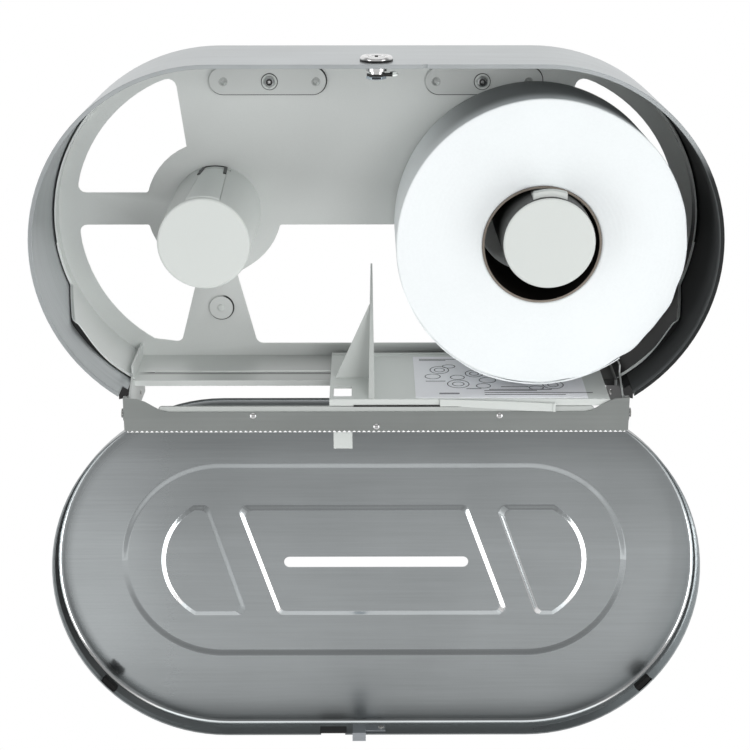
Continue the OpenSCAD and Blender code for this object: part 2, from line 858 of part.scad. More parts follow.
module door_closed() {
  difference() {
    union() {
      for (m = [0, 1]) mirror([m, 0, 0]) rim_half();
      for (m = [0, 1]) mirror([0, 0, m]) rim_straight();
      face_field();
      for (m = [0, 1]) mirror([m, 0, 0]) step_half();
      for (m = [0, 1]) translate([0, 0, 2 * m * field_z]) mirror([0, 0, m]) step_straight();
      lifted() mid_panel(0);
      for (s = [-1, 1]) lifted() d_panel(s, 0);
    }
    hollowed() mid_panel(door_t);
    for (s = [-1, 1]) hollowed() d_panel(s, door_t);
    box(-shelf_x, shelf_x, face_y + 4.6, 0, -cab_h, 60 - r_out);
    box(-46, -26, rim_y - 12, 0, r_out - 20, r_out + 20);
    front(rim_y + 10, 60) translate([0, -1.3]) {
      square([slot_w - slot_h, slot_h], center = true);
      for (s = [-1, 1]) translate([s * (slot_w - slot_h) / 2, 0]) circle(r = slot_h / 2);
    }
    catch_holes();
  }
  for (m = [0, 1]) mirror([m, 0, 0]) hinge_arm();
}

module door() {
  color([0.62, 0.64, 0.65]) opened() door_closed();
}

module catch_holes() {
  for (x = [-14.5, 4]) translate([x, rim_y - 10, r_out - 10]) cylinder(r = 1.6, h = 20);
}

// hook that reaches behind the lock's cam when the door is shut
module door_catch() {
  zt = r_out - door_t;
  zb = r_out - 7.55;
  color([0.75, 0.76, 0.76]) opened() difference() {
    union() {
      box(-19.6, 7.6, rim_y - 16, rim_y - 3, zt - 1.5, zt);
      box(-19.6, -8.8, rim_y - 4.5, rim_y - 3, zb, zt);
      box(-19.6, -8.8, rim_y - 4.5, lock_y + 7.5, zb, zb + 1.5);
      box(-19.6, -8.8, lock_y + 6, lock_y + 7.5, zb - 5.6, zb + 1.5);
    }
    catch_holes();
  }
}

module catch_rivets() {
  zt = r_out - door_t;
  color([0.8, 0.8, 0.8]) opened() for (x = [-14.5, 4]) translate([x, rim_y - 10, 0])
    rotate_extrude() polygon([
      [0, zt - 2.5], [2.2, zt - 2.5], [2.7, zt - 1.5], [1.6, zt - 1.5], [1.6, r_out],
      [2.6, r_out], [2.2, r_out + 0.7], [0, r_out + 0.9]
    ]);
}

module door_bumper() {
  color([0.12, 0.12, 0.12]) opened() translate([cx, rim_y, 0]) rotate([0, -45, 0])
    difference() {
      translate([r_out - 7, -9, -9]) cube([7 - door_t, 9.3, 18]);
      translate([0, 1, 0]) rotate([90, 0, 0]) difference() {
        cylinder(r = r_out + 20, h = 30);
        translate([0, 0, -1]) cylinder(r = r_out - door_t, h = 40);
      }
    }
}

module left_door_bumper() {
  mirror([1, 0, 0]) door_bumper();
}

module right_door_bumper() {
  door_bumper();
}

// Tissue slide
function fz(y) = floor_z + slope * (y - floor_back);

module slide_floor() {
  side(-slide_left, slide_x1 + slide_left) polygon([
    [floor_back, fz(floor_back)], [floor_back, fz(floor_back) + 1], [floor_back - 3, fz(floor_back) + 1],
    [floor_back - 4, fz(floor_back - 4)], [floor_front, fz(floor_front)], [floor_front, rail_top + 0.5],
    [floor_front + 2.2, rail_top + 0.5], [floor_front + 2.2, fz(floor_front) - floor_t],
    [floor_back, fz(floor_back) - floor_t]
  ]);
}

module slide_fin() {
  top = fz(floor_front) + fin_h;
  intersection() {
    side(fin_x - 2, 8) polygon([
      [floor_front, fz(floor_front) - 1], [-11, top], [-8.5, top], [-8.5, fz(floor_back) - 1]
    ]);
    front(0, 200) polygon([
      [fin_x - 1.2, floor_z - 9], [fin_x + 3.6, floor_z - 9], [fin_x + 2.1, top + 2], [fin_x + 0.7, top + 2]
    ]);
  }
}

// leaning web that props the fin
module slide_web() {
  translate([0, -58, fz(-58)]) rotate([-20, 0, 0]) front(0, 1.8)
    polygon([[-33, -0.6], [fin_x + 1, -0.6], [fin_x + 1, 59], [fin_x - 0.5, 59]]);
}

// sprung arm in front of the rail, drooping to the right
module slide_finger() {
  z = rail_top;
  n = slide_x1 - 43 - 50;
  front(rail_y0 - 0.4, 1.3) polygon([
    [50, z + 6.3], [60, z + 6.1], [50 + 0.55 * n, z + 4.7], [50 + n, z + 2.7], [50 + n, z - 3.8],
    [44 + n, z - 3.8], [50 + 0.75 * n, z - 3.1], [50 + 0.37 * n, z - 1], [50 + 0.15 * n, z + 0.5],
    [50, z + 0.5]
  ]);
  box(50, 60, rail_y0 - 0.5, rail_y0 + 2.5, z + 0.5, z + 6);
  box(48 + n, 50 + n, rail_y0 - 2.4, rail_y0 - 0.4, z - 3.8, z + 3);
}

module tissue_slide() {
  color([0.85, 0.86, 0.85]) difference() {
    union() {
      slide_floor();
      slide_fin();
      slide_web();
      slide_finger();
      box(-34, -19, rail_y0 + 4.2, rail_y0 + 6.2, shelf_z - 46.3, fz(floor_front) - 1);
      box(6 - slide_left, slide_x1 - 6, -40.4, -38.6, sz(-39) - 2.6, fz(-39) - 1);
    }
    box(-33.8, -19.6, rail_y0 + 6.8, -78, floor_z - 20, floor_z + 10);
  }
}

module slide_label() {
  y = floor_front + 2.2;
  color([0.93, 0.94, 0.97]) side(31, slide_x1 - 48) polygon([
    [-14, fz(-14)], [-14, fz(-14) + 0.3], [y, fz(y) + 0.3], [y, fz(y)]
  ]);
}

// Paper roll
module tissue_roll() {
  color([0.97, 0.97, 0.98]) difference() {
    pin_y(roll_x, roll_z, roll_y - roll_w, roll_y, roll_r);
    pin_y(roll_x, roll_z, roll_y - roll_w - 1, roll_y + 1, core_r + core_t);
  }
}

module roll_core() {
  color([0.70, 0.65, 0.58]) difference() {
    pin_y(roll_x, roll_z, roll_y - roll_w, roll_y, core_r + core_t);
    pin_y(roll_x, roll_z, roll_y - roll_w - 1, roll_y + 1, core_r);
  }
}

back_plate();
housing_band();
left_spindle();
right_spindle();
left_latch();
right_latch();
left_spindle_screw();
right_spindle_screw();
left_pad_washer();
right_pad_washer();
left_pad_screw();
right_pad_screw();
left_boss_button();
right_boss_button();
tear_bar();
front_rail();
tear_bar_rivets();
left_ear_rivet();
right_ear_rivet();
left_hinge_pin();
right_hinge_pin();
left_hinge_washer();
right_hinge_washer();
left_stop_pin();
right_stop_pin();
lock_body();
lock_nut();
door();
door_catch();
catch_rivets();
left_door_bumper();
right_door_bumper();
tissue_slide();
slide_label();
tissue_roll();
roll_core();
lock_plug();
lock_cam();
cam_nut();
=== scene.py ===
import json
import math

import bmesh
import bpy
from mathutils import Matrix, Vector


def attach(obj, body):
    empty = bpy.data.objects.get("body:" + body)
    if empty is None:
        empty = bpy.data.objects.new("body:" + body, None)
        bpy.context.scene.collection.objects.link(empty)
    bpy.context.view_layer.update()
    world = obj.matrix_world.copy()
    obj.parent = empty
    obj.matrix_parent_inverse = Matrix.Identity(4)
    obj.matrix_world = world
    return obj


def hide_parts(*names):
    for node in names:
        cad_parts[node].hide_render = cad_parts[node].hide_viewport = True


bl_info = {
    "name": "Twin roll dispenser looks",
    "version": (1, 0, 0),
    "blender": (4, 5, 0),
    "location": "3D View > Sidebar > Dispenser",
    "description": "Finishes and fine shapes for a twin jumbo roll dispenser standing open",
    "category": "Object",
}

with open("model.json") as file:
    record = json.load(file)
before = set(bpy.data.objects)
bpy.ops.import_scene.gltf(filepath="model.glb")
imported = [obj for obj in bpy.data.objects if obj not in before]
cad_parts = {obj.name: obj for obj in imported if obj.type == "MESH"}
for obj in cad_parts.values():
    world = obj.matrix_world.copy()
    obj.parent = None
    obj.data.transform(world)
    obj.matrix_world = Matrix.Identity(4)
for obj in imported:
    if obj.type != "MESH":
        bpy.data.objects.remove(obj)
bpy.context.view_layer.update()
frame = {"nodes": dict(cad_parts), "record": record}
NODES = frame["nodes"]

MM = 0.001
IMAGE_PX = 750
SENSOR_MM = 36.0
WHITE = (1.0, 1.0, 1.0, 1.0)
LONG_GRAIN = (14.0, 600.0, 600.0)

GROUPS = {}
MATERIALS = {}
BODIES = frame["record"]["behaviour"]["bodies"]

# Places and sizes of the frame in millimetres; a place given by two numbers is (x, z)
R_OUT = 140.75
CX = 123.75
HINGE = (0.0, -97.0, -135.05)
OPEN = math.radians(171.3)
RIM_Y = -110.5
DOOR_DEEP = 24.5
FACE_Y = RIM_Y - DOOR_DEEP
SHEET = 1.0
FIELD_DROP = 1.6
PANEL_LOW, PANEL_HIGH = 90.75 - R_OUT, R_OUT - 95.25
LEAN_LEFT, LEAN_RIGHT = 0.335, 0.367
STEP_SLANT = 1.055
ARM_X, ARM_R, ARM_SHEET, ARM_EYE_R = 199.0, 6.4, 1.2, 2.75
SPINDLE, SPINDLE_R = (130.4, 8.0), 36.0
PAD_SCREW, PAD_Z = 85.0, 112.6
PAD_X, PAD_MIDDLE, PAD_HALF, PAD_R = 86.5, 113.2, 35.9, 10.8
BOSS = (129.2, -75.6)
SHELF_HALF = 186.0
ROLL, ROLL_R = (127.5, 0.7), 112.5
ROLL_BACK, ROLL_FRONT = -5.5, -93.5
CORE_R, CORE_BOARD = 44.2, 1.8
PRINT_THICK, PRINT_LIFT = 0.06, 0.31


def colour_setting(name, description, default):
    return bpy.props.FloatVectorProperty(name=name, description=description, size=3, subtype="COLOR",
                                         min=0.0, max=1.0, default=default)


# Sizes and colours that a user would change
class CameraSettings(bpy.types.PropertyGroup):
    focal_px: bpy.props.FloatProperty(
        name="Focal length", description="Focal length in pixels of the square picture", default=1622.93)
    place: bpy.props.FloatVectorProperty(
        name="Place", description="Where the camera stands", size=3, subtype="TRANSLATION",
        default=(-0.00651, -1.30744, 0.30696))
    pitch: bpy.props.FloatProperty(
        name="Pitch", description="How far the camera looks down", subtype="ANGLE", default=0.3276)
    yaw: bpy.props.FloatProperty(
        name="Yaw", description="How far the camera looks to the right", subtype="ANGLE", default=0.0045)
    centre_drop_px: bpy.props.FloatProperty(
        name="Centre drop", description="How far the optical axis lies under the picture's middle",
        default=1.17)


class FinishSettings(bpy.types.PropertyGroup):
    cover: colour_setting("Cover steel", "Colour of the brushed housing and door", (0.50, 0.53, 0.54))
    plate: colour_setting("Plate steel", "Colour of the satin back plate", (0.70, 0.725, 0.71))
    apron: colour_setting("Tear bar steel", "Colour of the tear bar", (0.37, 0.39, 0.38))
    bright: colour_setting("Bright plate", "Colour of the rivets and pins", (0.62, 0.62, 0.60))
    moulding: colour_setting("Moulding", "Colour of the spindles, slide and rail", (0.62, 0.65, 0.63))
    paper: colour_setting("Tissue", "Colour of the paper roll", (0.83, 0.865, 0.875))
    board: colour_setting("Core board", "Colour of the roll's core", (0.24, 0.21, 0.18))


# Material building
def add_node(tree, kind, inputs=(), **settings):
    """New shader node; inputs gives each socket a value, or another node's socket to link to"""
    node = tree.nodes.new("ShaderNode" + kind)
    for key, value in settings.items():
        setattr(node, key, value)
    for key, value in dict(inputs).items():
        if isinstance(value, bpy.types.NodeSocket):
            tree.links.new(value, node.inputs[key])
        else:
            node.inputs[key].default_value = value
    return node


def new_material(name, surface):
    """Material with one surface shader, whose values are given by label"""
    mat = bpy.data.materials.new(name)
    mat.use_nodes = True
    tree = mat.node_tree
    tree.nodes.clear()
    bsdf = add_node(tree, "BsdfPrincipled", surface)
    add_node(tree, "OutputMaterial", {"Surface": bsdf.outputs["BSDF"]})
    return mat, tree, bsdf


def new_group(name, inputs, outputs):
    group = bpy.data.node_groups.new(name, "ShaderNodeTree")
    for label, kind, value in inputs:
        socket = group.interface.new_socket(name=label, in_out="INPUT", socket_type=kind)
        if value is not None:
            socket.default_value = value
    for label, kind in outputs:
        group.interface.new_socket(name=label, in_out="OUTPUT", socket_type=kind)
    return group, group.nodes.new("NodeGroupInput"), group.nodes.new("NodeGroupOutput")


def maths(tree, op, *values):
    return add_node(tree, "Math", enumerate(values), operation=op).outputs[0]


def noise(tree, vector, scale, detail, roughness=0.5):
    return add_node(tree, "TexNoise", {"Vector": vector, "Scale": scale, "Detail": detail,
                                       "Roughness": roughness}).outputs["Fac"]


def times(tree, vector, factor):
    """Vector or colour times another, part by part"""
    return add_node(tree, "VectorMath", {0: vector, 1: factor}, operation="MULTIPLY").outputs[0]


def mixed(tree, factor, first, second):
    """Colour that goes from first to second as the factor goes from 0 to 1"""
    return add_node(tree, "Mix", {"Factor": factor, 6: first, 7: second}, data_type="RGBA").outputs[2]


def ramp(tree, factor, stops, interpolation="LINEAR"):
    """Colour ramp whose stops are (position, grey level or colour)"""
    node = add_node(tree, "ValToRGB", {0: factor})
    node.color_ramp.interpolation = interpolation
    elements = node.color_ramp.elements
    while len(elements) < len(stops):
        elements.new(0.5)
    for element, (place, level) in zip(elements, stops):
        element.position = place
        element.color = (*(level if isinstance(level, tuple) else (level,) * 3), 1.0)
    return node.outputs["Color"]


def texture_coords(tree, kind="Object"):
    return add_node(tree, "TexCoord").outputs[kind]


def make_brushed_group():
    """Fine parallel scratches: the Stretch vector is small along the brushing"""
    group, gin, gout = new_group(
        "Brushed grain",
        [("Vector", "NodeSocketVector", None), ("Stretch", "NodeSocketVector", (4.0, 900.0, 900.0)),
         ("Patch Scale", "NodeSocketFloat", 9.0)],
        [("Lines", "NodeSocketFloat"), ("Patches", "NodeSocketFloat")])
    vec = times(group, gin.outputs["Vector"], gin.outputs["Stretch"])
    fine = noise(group, vec, 1.0, 3.0, 0.6)
    broad = noise(group, times(group, vec, (0.4, 0.12, 0.12)), 1.0, 2.0)
    lines = maths(group, "ADD", maths(group, "MULTIPLY", fine, 0.65), maths(group, "MULTIPLY", broad, 0.35))
    group.links.new(lines, gout.inputs["Lines"])
    patches = noise(group, gin.outputs["Vector"], gin.outputs["Patch Scale"], 3.0)
    group.links.new(patches, gout.inputs["Patches"])
    return group


def make_speckle_group():
    """Fine moulded or rolled grain with soft cloudiness"""
    group, gin, gout = new_group(
        "Fine grain",
        [("Vector", "NodeSocketVector", None), ("Scale", "NodeSocketFloat", 900.0),
         ("Cloud Scale", "NodeSocketFloat", 12.0)],
        [("Grain", "NodeSocketFloat"), ("Clouds", "NodeSocketFloat")])
    for label, size, detail in (("Grain", "Scale", 2.0), ("Clouds", "Cloud Scale", 4.0)):
        group.links.new(noise(group, gin.outputs["Vector"], gin.outputs[size], detail), gout.inputs[label])
    return group


def scaled(colour, k):
    return tuple(min(1.0, c * k) for c in colour)


def tone_of(tree):
    return add_node(tree, "Attribute", attribute_name="tone").outputs["Fac"]


def painted(tree, colour):
    """Colour times the tone that is painted on the piece"""
    return add_node(tree, "VectorMath", {0: colour, "Scale": tone_of(tree)}, operation="SCALE").outputs[0]


def dulled(tree, rough, amount):
    """Roughness that grows where the painted tone is dark and falls where the painted tone is bright"""
    loss = maths(tree, "SUBTRACT", 1.0, tone_of(tree))
    worn = maths(tree, "MULTIPLY_ADD", loss, amount, rough)
    return maths(tree, "MINIMUM", 0.9, maths(tree, "MAXIMUM", 0.12, worn))


def along(tree, axis, stops, colour):
    """Colour times a tone that changes along one axis of the piece; stops are (metres, tone)"""
    split = add_node(tree, "SeparateXYZ", {0: texture_coords(tree)})
    first, last = stops[0][0], stops[-1][0]
    span = add_node(tree, "MapRange", {"Value": split.outputs[axis], "From Min": first, "From Max": last})
    levels = [((place - first) / (last - first), level) for place, level in stops]
    return times(tree, colour, ramp(tree, span.outputs["Result"], levels, "EASE"))


def grained(name, colour, group, inputs, broad_share, worn, swing, relief, roughness, surface,
            contrast, tone, dull=0.0, coords="Object"):
    """Finish from a grain group, whose outputs are a fine and a broad pattern.

    The roughness swings with the pattern that worn numbers; relief is the strength and depth of
    the fine one."""
    mat, tree, bsdf = new_material(name, surface)
    grain = add_node(tree, "Group", {"Vector": texture_coords(tree, coords), **inputs},
                     node_tree=GROUPS[group]).outputs
    mix = maths(tree, "ADD", maths(tree, "MULTIPLY", grain[0], 1.0 - broad_share),
                maths(tree, "MULTIPLY", grain[1], broad_share))
    shade = ramp(tree, mix, ((0.3, scaled(colour, 1 - contrast)), (0.7, scaled(colour, 1 + contrast))))
    tree.links.new(tone(tree, shade) if tone else shade, bsdf.inputs["Base Color"])
    rough = maths(tree, "MULTIPLY_ADD", grain[worn], swing, roughness - swing / 2.0)
    tree.links.new(dulled(tree, rough, dull) if dull else rough, bsdf.inputs["Roughness"])
    bump = add_node(tree, "Bump", {"Strength": relief[0], "Distance": relief[1], "Height": grain[0]})
    tree.links.new(bump.outputs["Normal"], bsdf.inputs["Normal"])
    return mat


def brushed_steel(name, colour, roughness=0.34, metallic=1.0, contrast=0.10, stretch=LONG_GRAIN,
                  patches=0.3, tone=None, dull=0.0, coords="Object"):
    return grained(name, colour, "brushed", {"Stretch": stretch}, patches, 0, 0.16, (0.25, 0.00008),
                   roughness, {"Metallic": metallic}, contrast, tone, dull, coords)


def satin(name, colour, roughness=0.5, metallic=0.0, contrast=0.03, grain_scale=900.0, depth=0.00004,
          specular=0.5, tone=None):
    return grained(name, colour, "speckle", {"Scale": grain_scale, "Cloud Scale": 14.0}, 0.6, 1, 0.12,
                   (0.3, depth), roughness, {"Metallic": metallic, "Specular IOR Level": specular},
                   contrast, tone)


# Shaping
def copied(node):
    """A merged copy of one of the frame's meshes, in millimetres"""
    bm = bmesh.new()
    bm.from_mesh(NODES[node].data)
    bmesh.ops.scale(bm, vec=(1000.0, 1000.0, 1000.0), verts=bm.verts)
    bmesh.ops.remove_doubles(bm, verts=bm.verts, dist=0.002)
    bmesh.ops.dissolve_limit(bm, angle_limit=math.radians(0.5), verts=bm.verts, edges=bm.edges)
    return bm


def soften(bm, width, segments=2, angle=28.0):
    """Rounds every edge that is sharper than the angle"""
    limit = math.radians(angle)
    edges = [e for e in bm.edges if len(e.link_faces) == 2 and e.calc_face_angle(0.0) > limit]
    bmesh.ops.bevel(bm, geom=edges, offset=width, offset_type="OFFSET", segments=segments,
                    profile=0.5, affect="EDGES", clamp_overlap=True, material=-1)


def body_of_node(node):
    return next(body for body, nodes in BODIES.items() if node in nodes)


def paint(bm, rule):
    """Paints a tone on every corner; rule takes the place in millimetres and the face's normal"""
    layer = bm.loops.layers.float.new("tone")
    bm.normal_update()
    for face in bm.faces:
        for loop in face.loops:
            loop[layer] = rule(loop.vert.co, face.normal)


def ease(value, low, high):
    """Smooth step from 0 at low to 1 at high"""
    t = max(0.0, min(1.0, (value - low) / (high - low)))
    return t * t * (3.0 - 2.0 * t)


def make_piece(name, bm, material, body, replaced=(), sharp=38.0, even=True):
    bmesh.ops.scale(bm, vec=(MM, MM, MM), verts=bm.verts)
    limit = math.radians(sharp)
    for face in bm.faces:
        face.smooth = True
    for edge in bm.edges:
        edge.smooth = len(edge.link_faces) == 2 and edge.calc_face_angle(0.0) < limit
    mesh = bpy.data.meshes.new(name)
    bm.to_mesh(mesh)
    bm.free()
    mesh.materials.append(MATERIALS[material])
    obj = bpy.data.objects.new(name, mesh)
    bpy.context.scene.collection.objects.link(obj)
    if even:
        normals = obj.modifiers.new("Even shading", "WEIGHTED_NORMAL")
        normals.keep_sharp = True
    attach(obj, body)
    if replaced:
        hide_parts(*replaced)
    return obj


def softened(node, material, width, segments=2, angle=28.0, tone=None):
    bm = copied(node)
    soften(bm, width, segments, angle)
    if tone:
        paint(bm, tone)
    return make_piece("soft_" + node, bm, material, body_of_node(node), (node,))


def on_axis(axis, value=1.0):
    return [value if k == axis else 0.0 for k in range(3)]


def split_faces(bm, faces, axis, place):
    """Adds edges where a plane square to an axis crosses the faces"""
    geom = list({g for f in faces for g in (f, *f.edges, *f.verts)})
    bmesh.ops.bisect_plane(bm, geom=geom, plane_co=on_axis(axis, place), plane_no=on_axis(axis), dist=1e-4)


def score(bm, axis, places, within):
    """Adds edges across the faces whose middle passes the test, at places along one axis"""
    for place in places:
        split_faces(bm, [f for f in bm.faces if within(f.calc_center_median())], axis, place)


def outward(co):
    """Way from the housing's middle line out to a place"""
    return Vector((math.copysign(max(abs(co.x) - CX, 0.0), co.x), 0.0, co.z))


def turn_open(bm):
    """Turns what is drawn on the shut door to where the open door hangs"""
    h = Vector(HINGE)
    bmesh.ops.transform(bm, verts=bm.verts, matrix=(
        Matrix.Translation(h) @ Matrix.Rotation(OPEN, 4, "X") @ Matrix.Translation(-h)))


def face_out(bm):
    """Turns every face outwards"""
    bmesh.ops.recalc_face_normals(bm, faces=bm.faces)


def verts_of(made):
    return [g for g in made["geom"] if isinstance(g, bmesh.types.BMVert)]


def thicken(bm, faces, shift):
    """Makes a plate of flat faces by extruding them"""
    bmesh.ops.translate(bm, vec=shift, verts=verts_of(bmesh.ops.extrude_face_region(bm, geom=faces)))


def stadium(inset, y, half=CX, radius=R_OUT, drop=0.0, steps=48):
    """Points of a stadium outline, counted from its lower right corner"""
    r = radius - inset
    points = []
    for side, start in ((1, -90.0), (-1, 90.0)):
        for k in range(steps + 1):
            a = math.radians(start + 180.0 * k / steps)
            points.append(Vector((side * half + r * math.cos(a), y, drop + r * math.sin(a))))
    return points


def first_loop(bm, points):
    loop = [bm.verts.new(p) for p in points]
    for a, b in zip(loop, loop[1:] + loop[:1]):
        bm.edges.new((a, b))
    return loop


def loop_edges(bm, loop):
    return [bm.edges.get((a, b)) for a, b in zip(loop, loop[1:] + loop[:1])]


def extrude_to(bm, loop, points):
    """Extrudes a closed loop and sets the new one on the given points"""
    fresh = set(verts_of(bmesh.ops.extrude_edge_only(bm, edges=loop_edges(bm, loop))))
    out = []
    for vert, point in zip(loop, points):
        mate = next(e.other_vert(vert) for e in vert.link_edges if e.other_vert(vert) in fresh)
        mate.co = point
        out.append(mate)
    return out


def corner_points(before, at, after, radius, steps=5):
    """Arc that rounds the corner between two straight runs"""
    u = (before - at).normalized()
    w = (after - at).normalized()
    half = math.acos(max(-1.0, min(1.0, u.dot(w)))) / 2.0
    reach = radius / math.tan(half)
    centre = at + (u + w).normalized() * (radius / math.sin(half))
    start = at + u * reach - centre
    end = at + w * reach - centre
    return [centre + start.slerp(end, k / steps).normalized() * radius for k in range(steps + 1)]


def rounded(points):
    """Outline whose corners, given as (x, z, radius), are rounded"""
    flat = [Vector((p[0], p[1])) for p in points]
    out = []
    for i, p in enumerate(points):
        if p[2] > 0.0:
            out += corner_points(flat[i - 1], flat[i], flat[(i + 1) % len(flat)], p[2])
        else:
            out.append(flat[i])
    return out


def at_depth(outline, y):
    return [Vector((p[0], y, p[1])) for p in outline]


def cut_box(bm, low, high):
    """Cuts away what lies within a box"""
    for axis in range(3):
        for value in (low[axis], high[axis]):
            near = [f for f in bm.faces
                    if all(min(v.co[k] for v in f.verts) <= high[k] + 1e-3
                           and max(v.co[k] for v in f.verts) >= low[k] - 1e-3 for k in range(3))]
            split_faces(bm, near, axis, value)
    gone = [f for f in bm.faces
            if all(low[k] - 1e-3 < f.calc_center_median()[k] < high[k] + 1e-3 for k in range(3))]
    bmesh.ops.delete(bm, geom=gone, context="FACES")


def lay_bar(bm, rows, closed=False):
    """Bar or closed ring through cross-sections, each a row of points in order"""
    made = [[bm.verts.new(p) for p in row] for row in rows]
    for one, two in zip(made, made[1:] + (made[:1] if closed else [])):
        for i in range(len(one)):
            bm.faces.new((one[i - 1], one[i], two[i], two[i - 1]))
    if not closed:
        for end in (made[0], made[-1]):
            bm.faces.new(end)


def lay_ribbon(bm, rails, closed=False, thick=0.25):
    """Flat strip between two rails of points, as thick as given towards the front"""
    rise = Vector((0.0, -thick, 0.0))
    lay_bar(bm, [(a, b, b + rise, a + rise) for a, b in zip(*rails)], closed)


def turned_ring(bm, profile, centre, steps=32):
    """Closed profile of (radius, y) spun about an axis along Y through centre (x, z)"""
    verts = first_loop(bm, [(centre[0] + r, y, centre[1]) for r, y in profile])
    bmesh.ops.spin(bm, geom=verts + loop_edges(bm, verts), cent=(centre[0], 0.0, centre[1]),
                   axis=(0.0, 1.0, 0.0), angle=2.0 * math.pi, steps=steps, use_merge=True)


def circle_points(centre, radius, y, steps):
    """Points round a circle that faces the front, centre as (x, z)"""
    turns = [2.0 * k * math.pi / steps for k in range(steps)]
    return [Vector((centre[0] + radius * math.cos(t), y, centre[1] + radius * math.sin(t))) for t in turns]


def add_box(bm, low, high):
    made = bmesh.ops.create_cube(bm, size=1.0)
    bmesh.ops.scale(bm, vec=[b - a for a, b in zip(low, high)], verts=made["verts"])
    bmesh.ops.translate(bm, vec=[(a + b) / 2.0 for a, b in zip(low, high)], verts=made["verts"])


def lay_strip(bm):
    """UV map whose first coordinate runs along the bent strip and whose second runs across it"""
    layer = bm.loops.layers.uv.new("strip")
    for face in bm.faces:
        for loop in face.loops:
            x, y, z = loop.vert.co
            side = math.copysign(1.0, x)
            if abs(x) >= CX:
                run = side * (CX + R_OUT * math.atan2(abs(x) - CX, z))
            else:
                run = x if z > 0.0 else side * (2.0 * CX + math.pi * R_OUT) - x
            loop[layer].uv = (run * MM, y * MM)


def pairs(*names):
    return tuple(side + name for name in names for side in ("left_", "right_"))


DRESSED = {
    "cover": ("housing_band", "door"),
    "plate": ("back_plate",),
    "apron": ("tear_bar",),
    "bright": ("door_catch", "catch_rivets", "tear_bar_rivets",
               *pairs("ear_rivet", "hinge_pin", "stop_pin", "spindle_screw")),
    "chrome": ("lock_body", "lock_plug"),
    "moulding": ("front_rail", *pairs("spindle", "latch", "hinge_washer")),
    "paper": ("tissue_roll",),
    "board": ("roll_core",),
    "label": ("slide_label",),
    "rubber": pairs("door_bumper"),
}


# Operators
class DISPENSER_OT_finishes(bpy.types.Operator):
    """Makes the shared effects and every finish, and dresses the frame's own pieces"""
    bl_idname = "dispenser.finishes"
    bl_label = "Finishes"

    def execute(self, context):
        GROUPS["brushed"] = make_brushed_group()
        GROUPS["speckle"] = make_speckle_group()
        self.steels(context.scene.dispenser_finish)
        self.satins(context.scene.dispenser_finish)
        for finish, nodes in DRESSED.items():
            for node in nodes:
                slots = NODES[node].data.materials
                slots.clear()
                slots.append(MATERIALS[finish])
        return {"FINISHED"}

    def steels(self, s):
        m, cover = MATERIALS, tuple(s.cover)
        m["cover"] = brushed_steel("Cover steel", cover, 0.33, contrast=0.12, patches=0.5,
                                   tone=self.door_painted_shade, dull=1.6)
        m["band"] = brushed_steel("Housing steel", cover, metallic=0.7, contrast=0.2, tone=painted,
                                  dull=0.5, coords="UV")
        m["bright_steel"] = brushed_steel("Catch steel", (0.50, 0.53, 0.56))
        m["apron"] = brushed_steel("Tear bar steel", tuple(s.apron), 0.38, contrast=0.12,
                                   stretch=(8.0, 420.0, 420.0), patches=0.6)

    def satins(self, s):
        m, moulding = MATERIALS, tuple(s.moulding)
        m["plate"] = satin("Plate steel", tuple(s.plate), 0.45, 0.35, 0.02, tone=painted)
        m["bright"] = satin("Bright plate", tuple(s.bright), 0.25, 1.0, 0.05)
        m["chrome"] = satin("Lock chrome", (0.72, 0.72, 0.72), 0.12, 1.0, 0.02)
        m["moulding"] = satin("Pale moulding", moulding, contrast=0.015)
        # Moulding with a painted tone: painted shade and light on the spindles, latches and washers, and the
        # cam's dark body and light tip
        m["shaded"] = satin("Shaded moulding", moulding, contrast=0.015, tone=painted)
        m["slide"] = satin("Slide moulding", scaled(moulding, 0.95), 0.45, contrast=0.015, tone=painted)
        m["paper"] = satin("Tissue", tuple(s.paper), 0.95, 0.0, 0.02, 500.0, 0.0002, 0.1, painted)
        m["board"] = satin("Core board", tuple(s.board), 0.9, 0.0, 0.1, 400.0, 0.0001, 0.1, painted)
        # Black for the dark ring under the lock and for the strips of painted shade in gaps and slots
        m["ring"] = satin("Dark ring", (0.015, 0.015, 0.015), 0.4, contrast=0.1)
        m["nut"] = satin("Blued nut", (0.50, 0.58, 0.64), 0.25, 0.6, 0.05, tone=painted)
        # Painted shade: the rail is a darker copy of the moulding
        m["rail"] = satin("Rail moulding", scaled(moulding, 0.73), contrast=0.015)
        m["print"] = satin("Label print", (0.05, 0.05, 0.06), 0.7, contrast=0.05)
        m["label"] = satin("Label paper", (0.95, 0.96, 1.0), 0.6, contrast=0.01)
        m["rubber"] = satin("Bumper rubber", (0.008, 0.008, 0.008), 0.6, contrast=0.1, specular=0.15)
        # Painted highlight: the white of the glints between the tear bar's teeth
        m["white"] = satin("Painted glint white", (0.98, 0.98, 0.98), contrast=0.01)

    def door_painted_shade(self, tree, shade):
        """Painted shade: the open door darkens towards its hinge and at its lower rim"""
        return along(tree, "Z", (
            (-0.418, 0.42), (-0.404, 0.72), (-0.385, 0.92), (-0.34, 1.0), (-0.27, 0.96),
            (-0.20, 0.82), (-0.165, 0.62), (-0.14, 0.52)), painted(tree, shade))


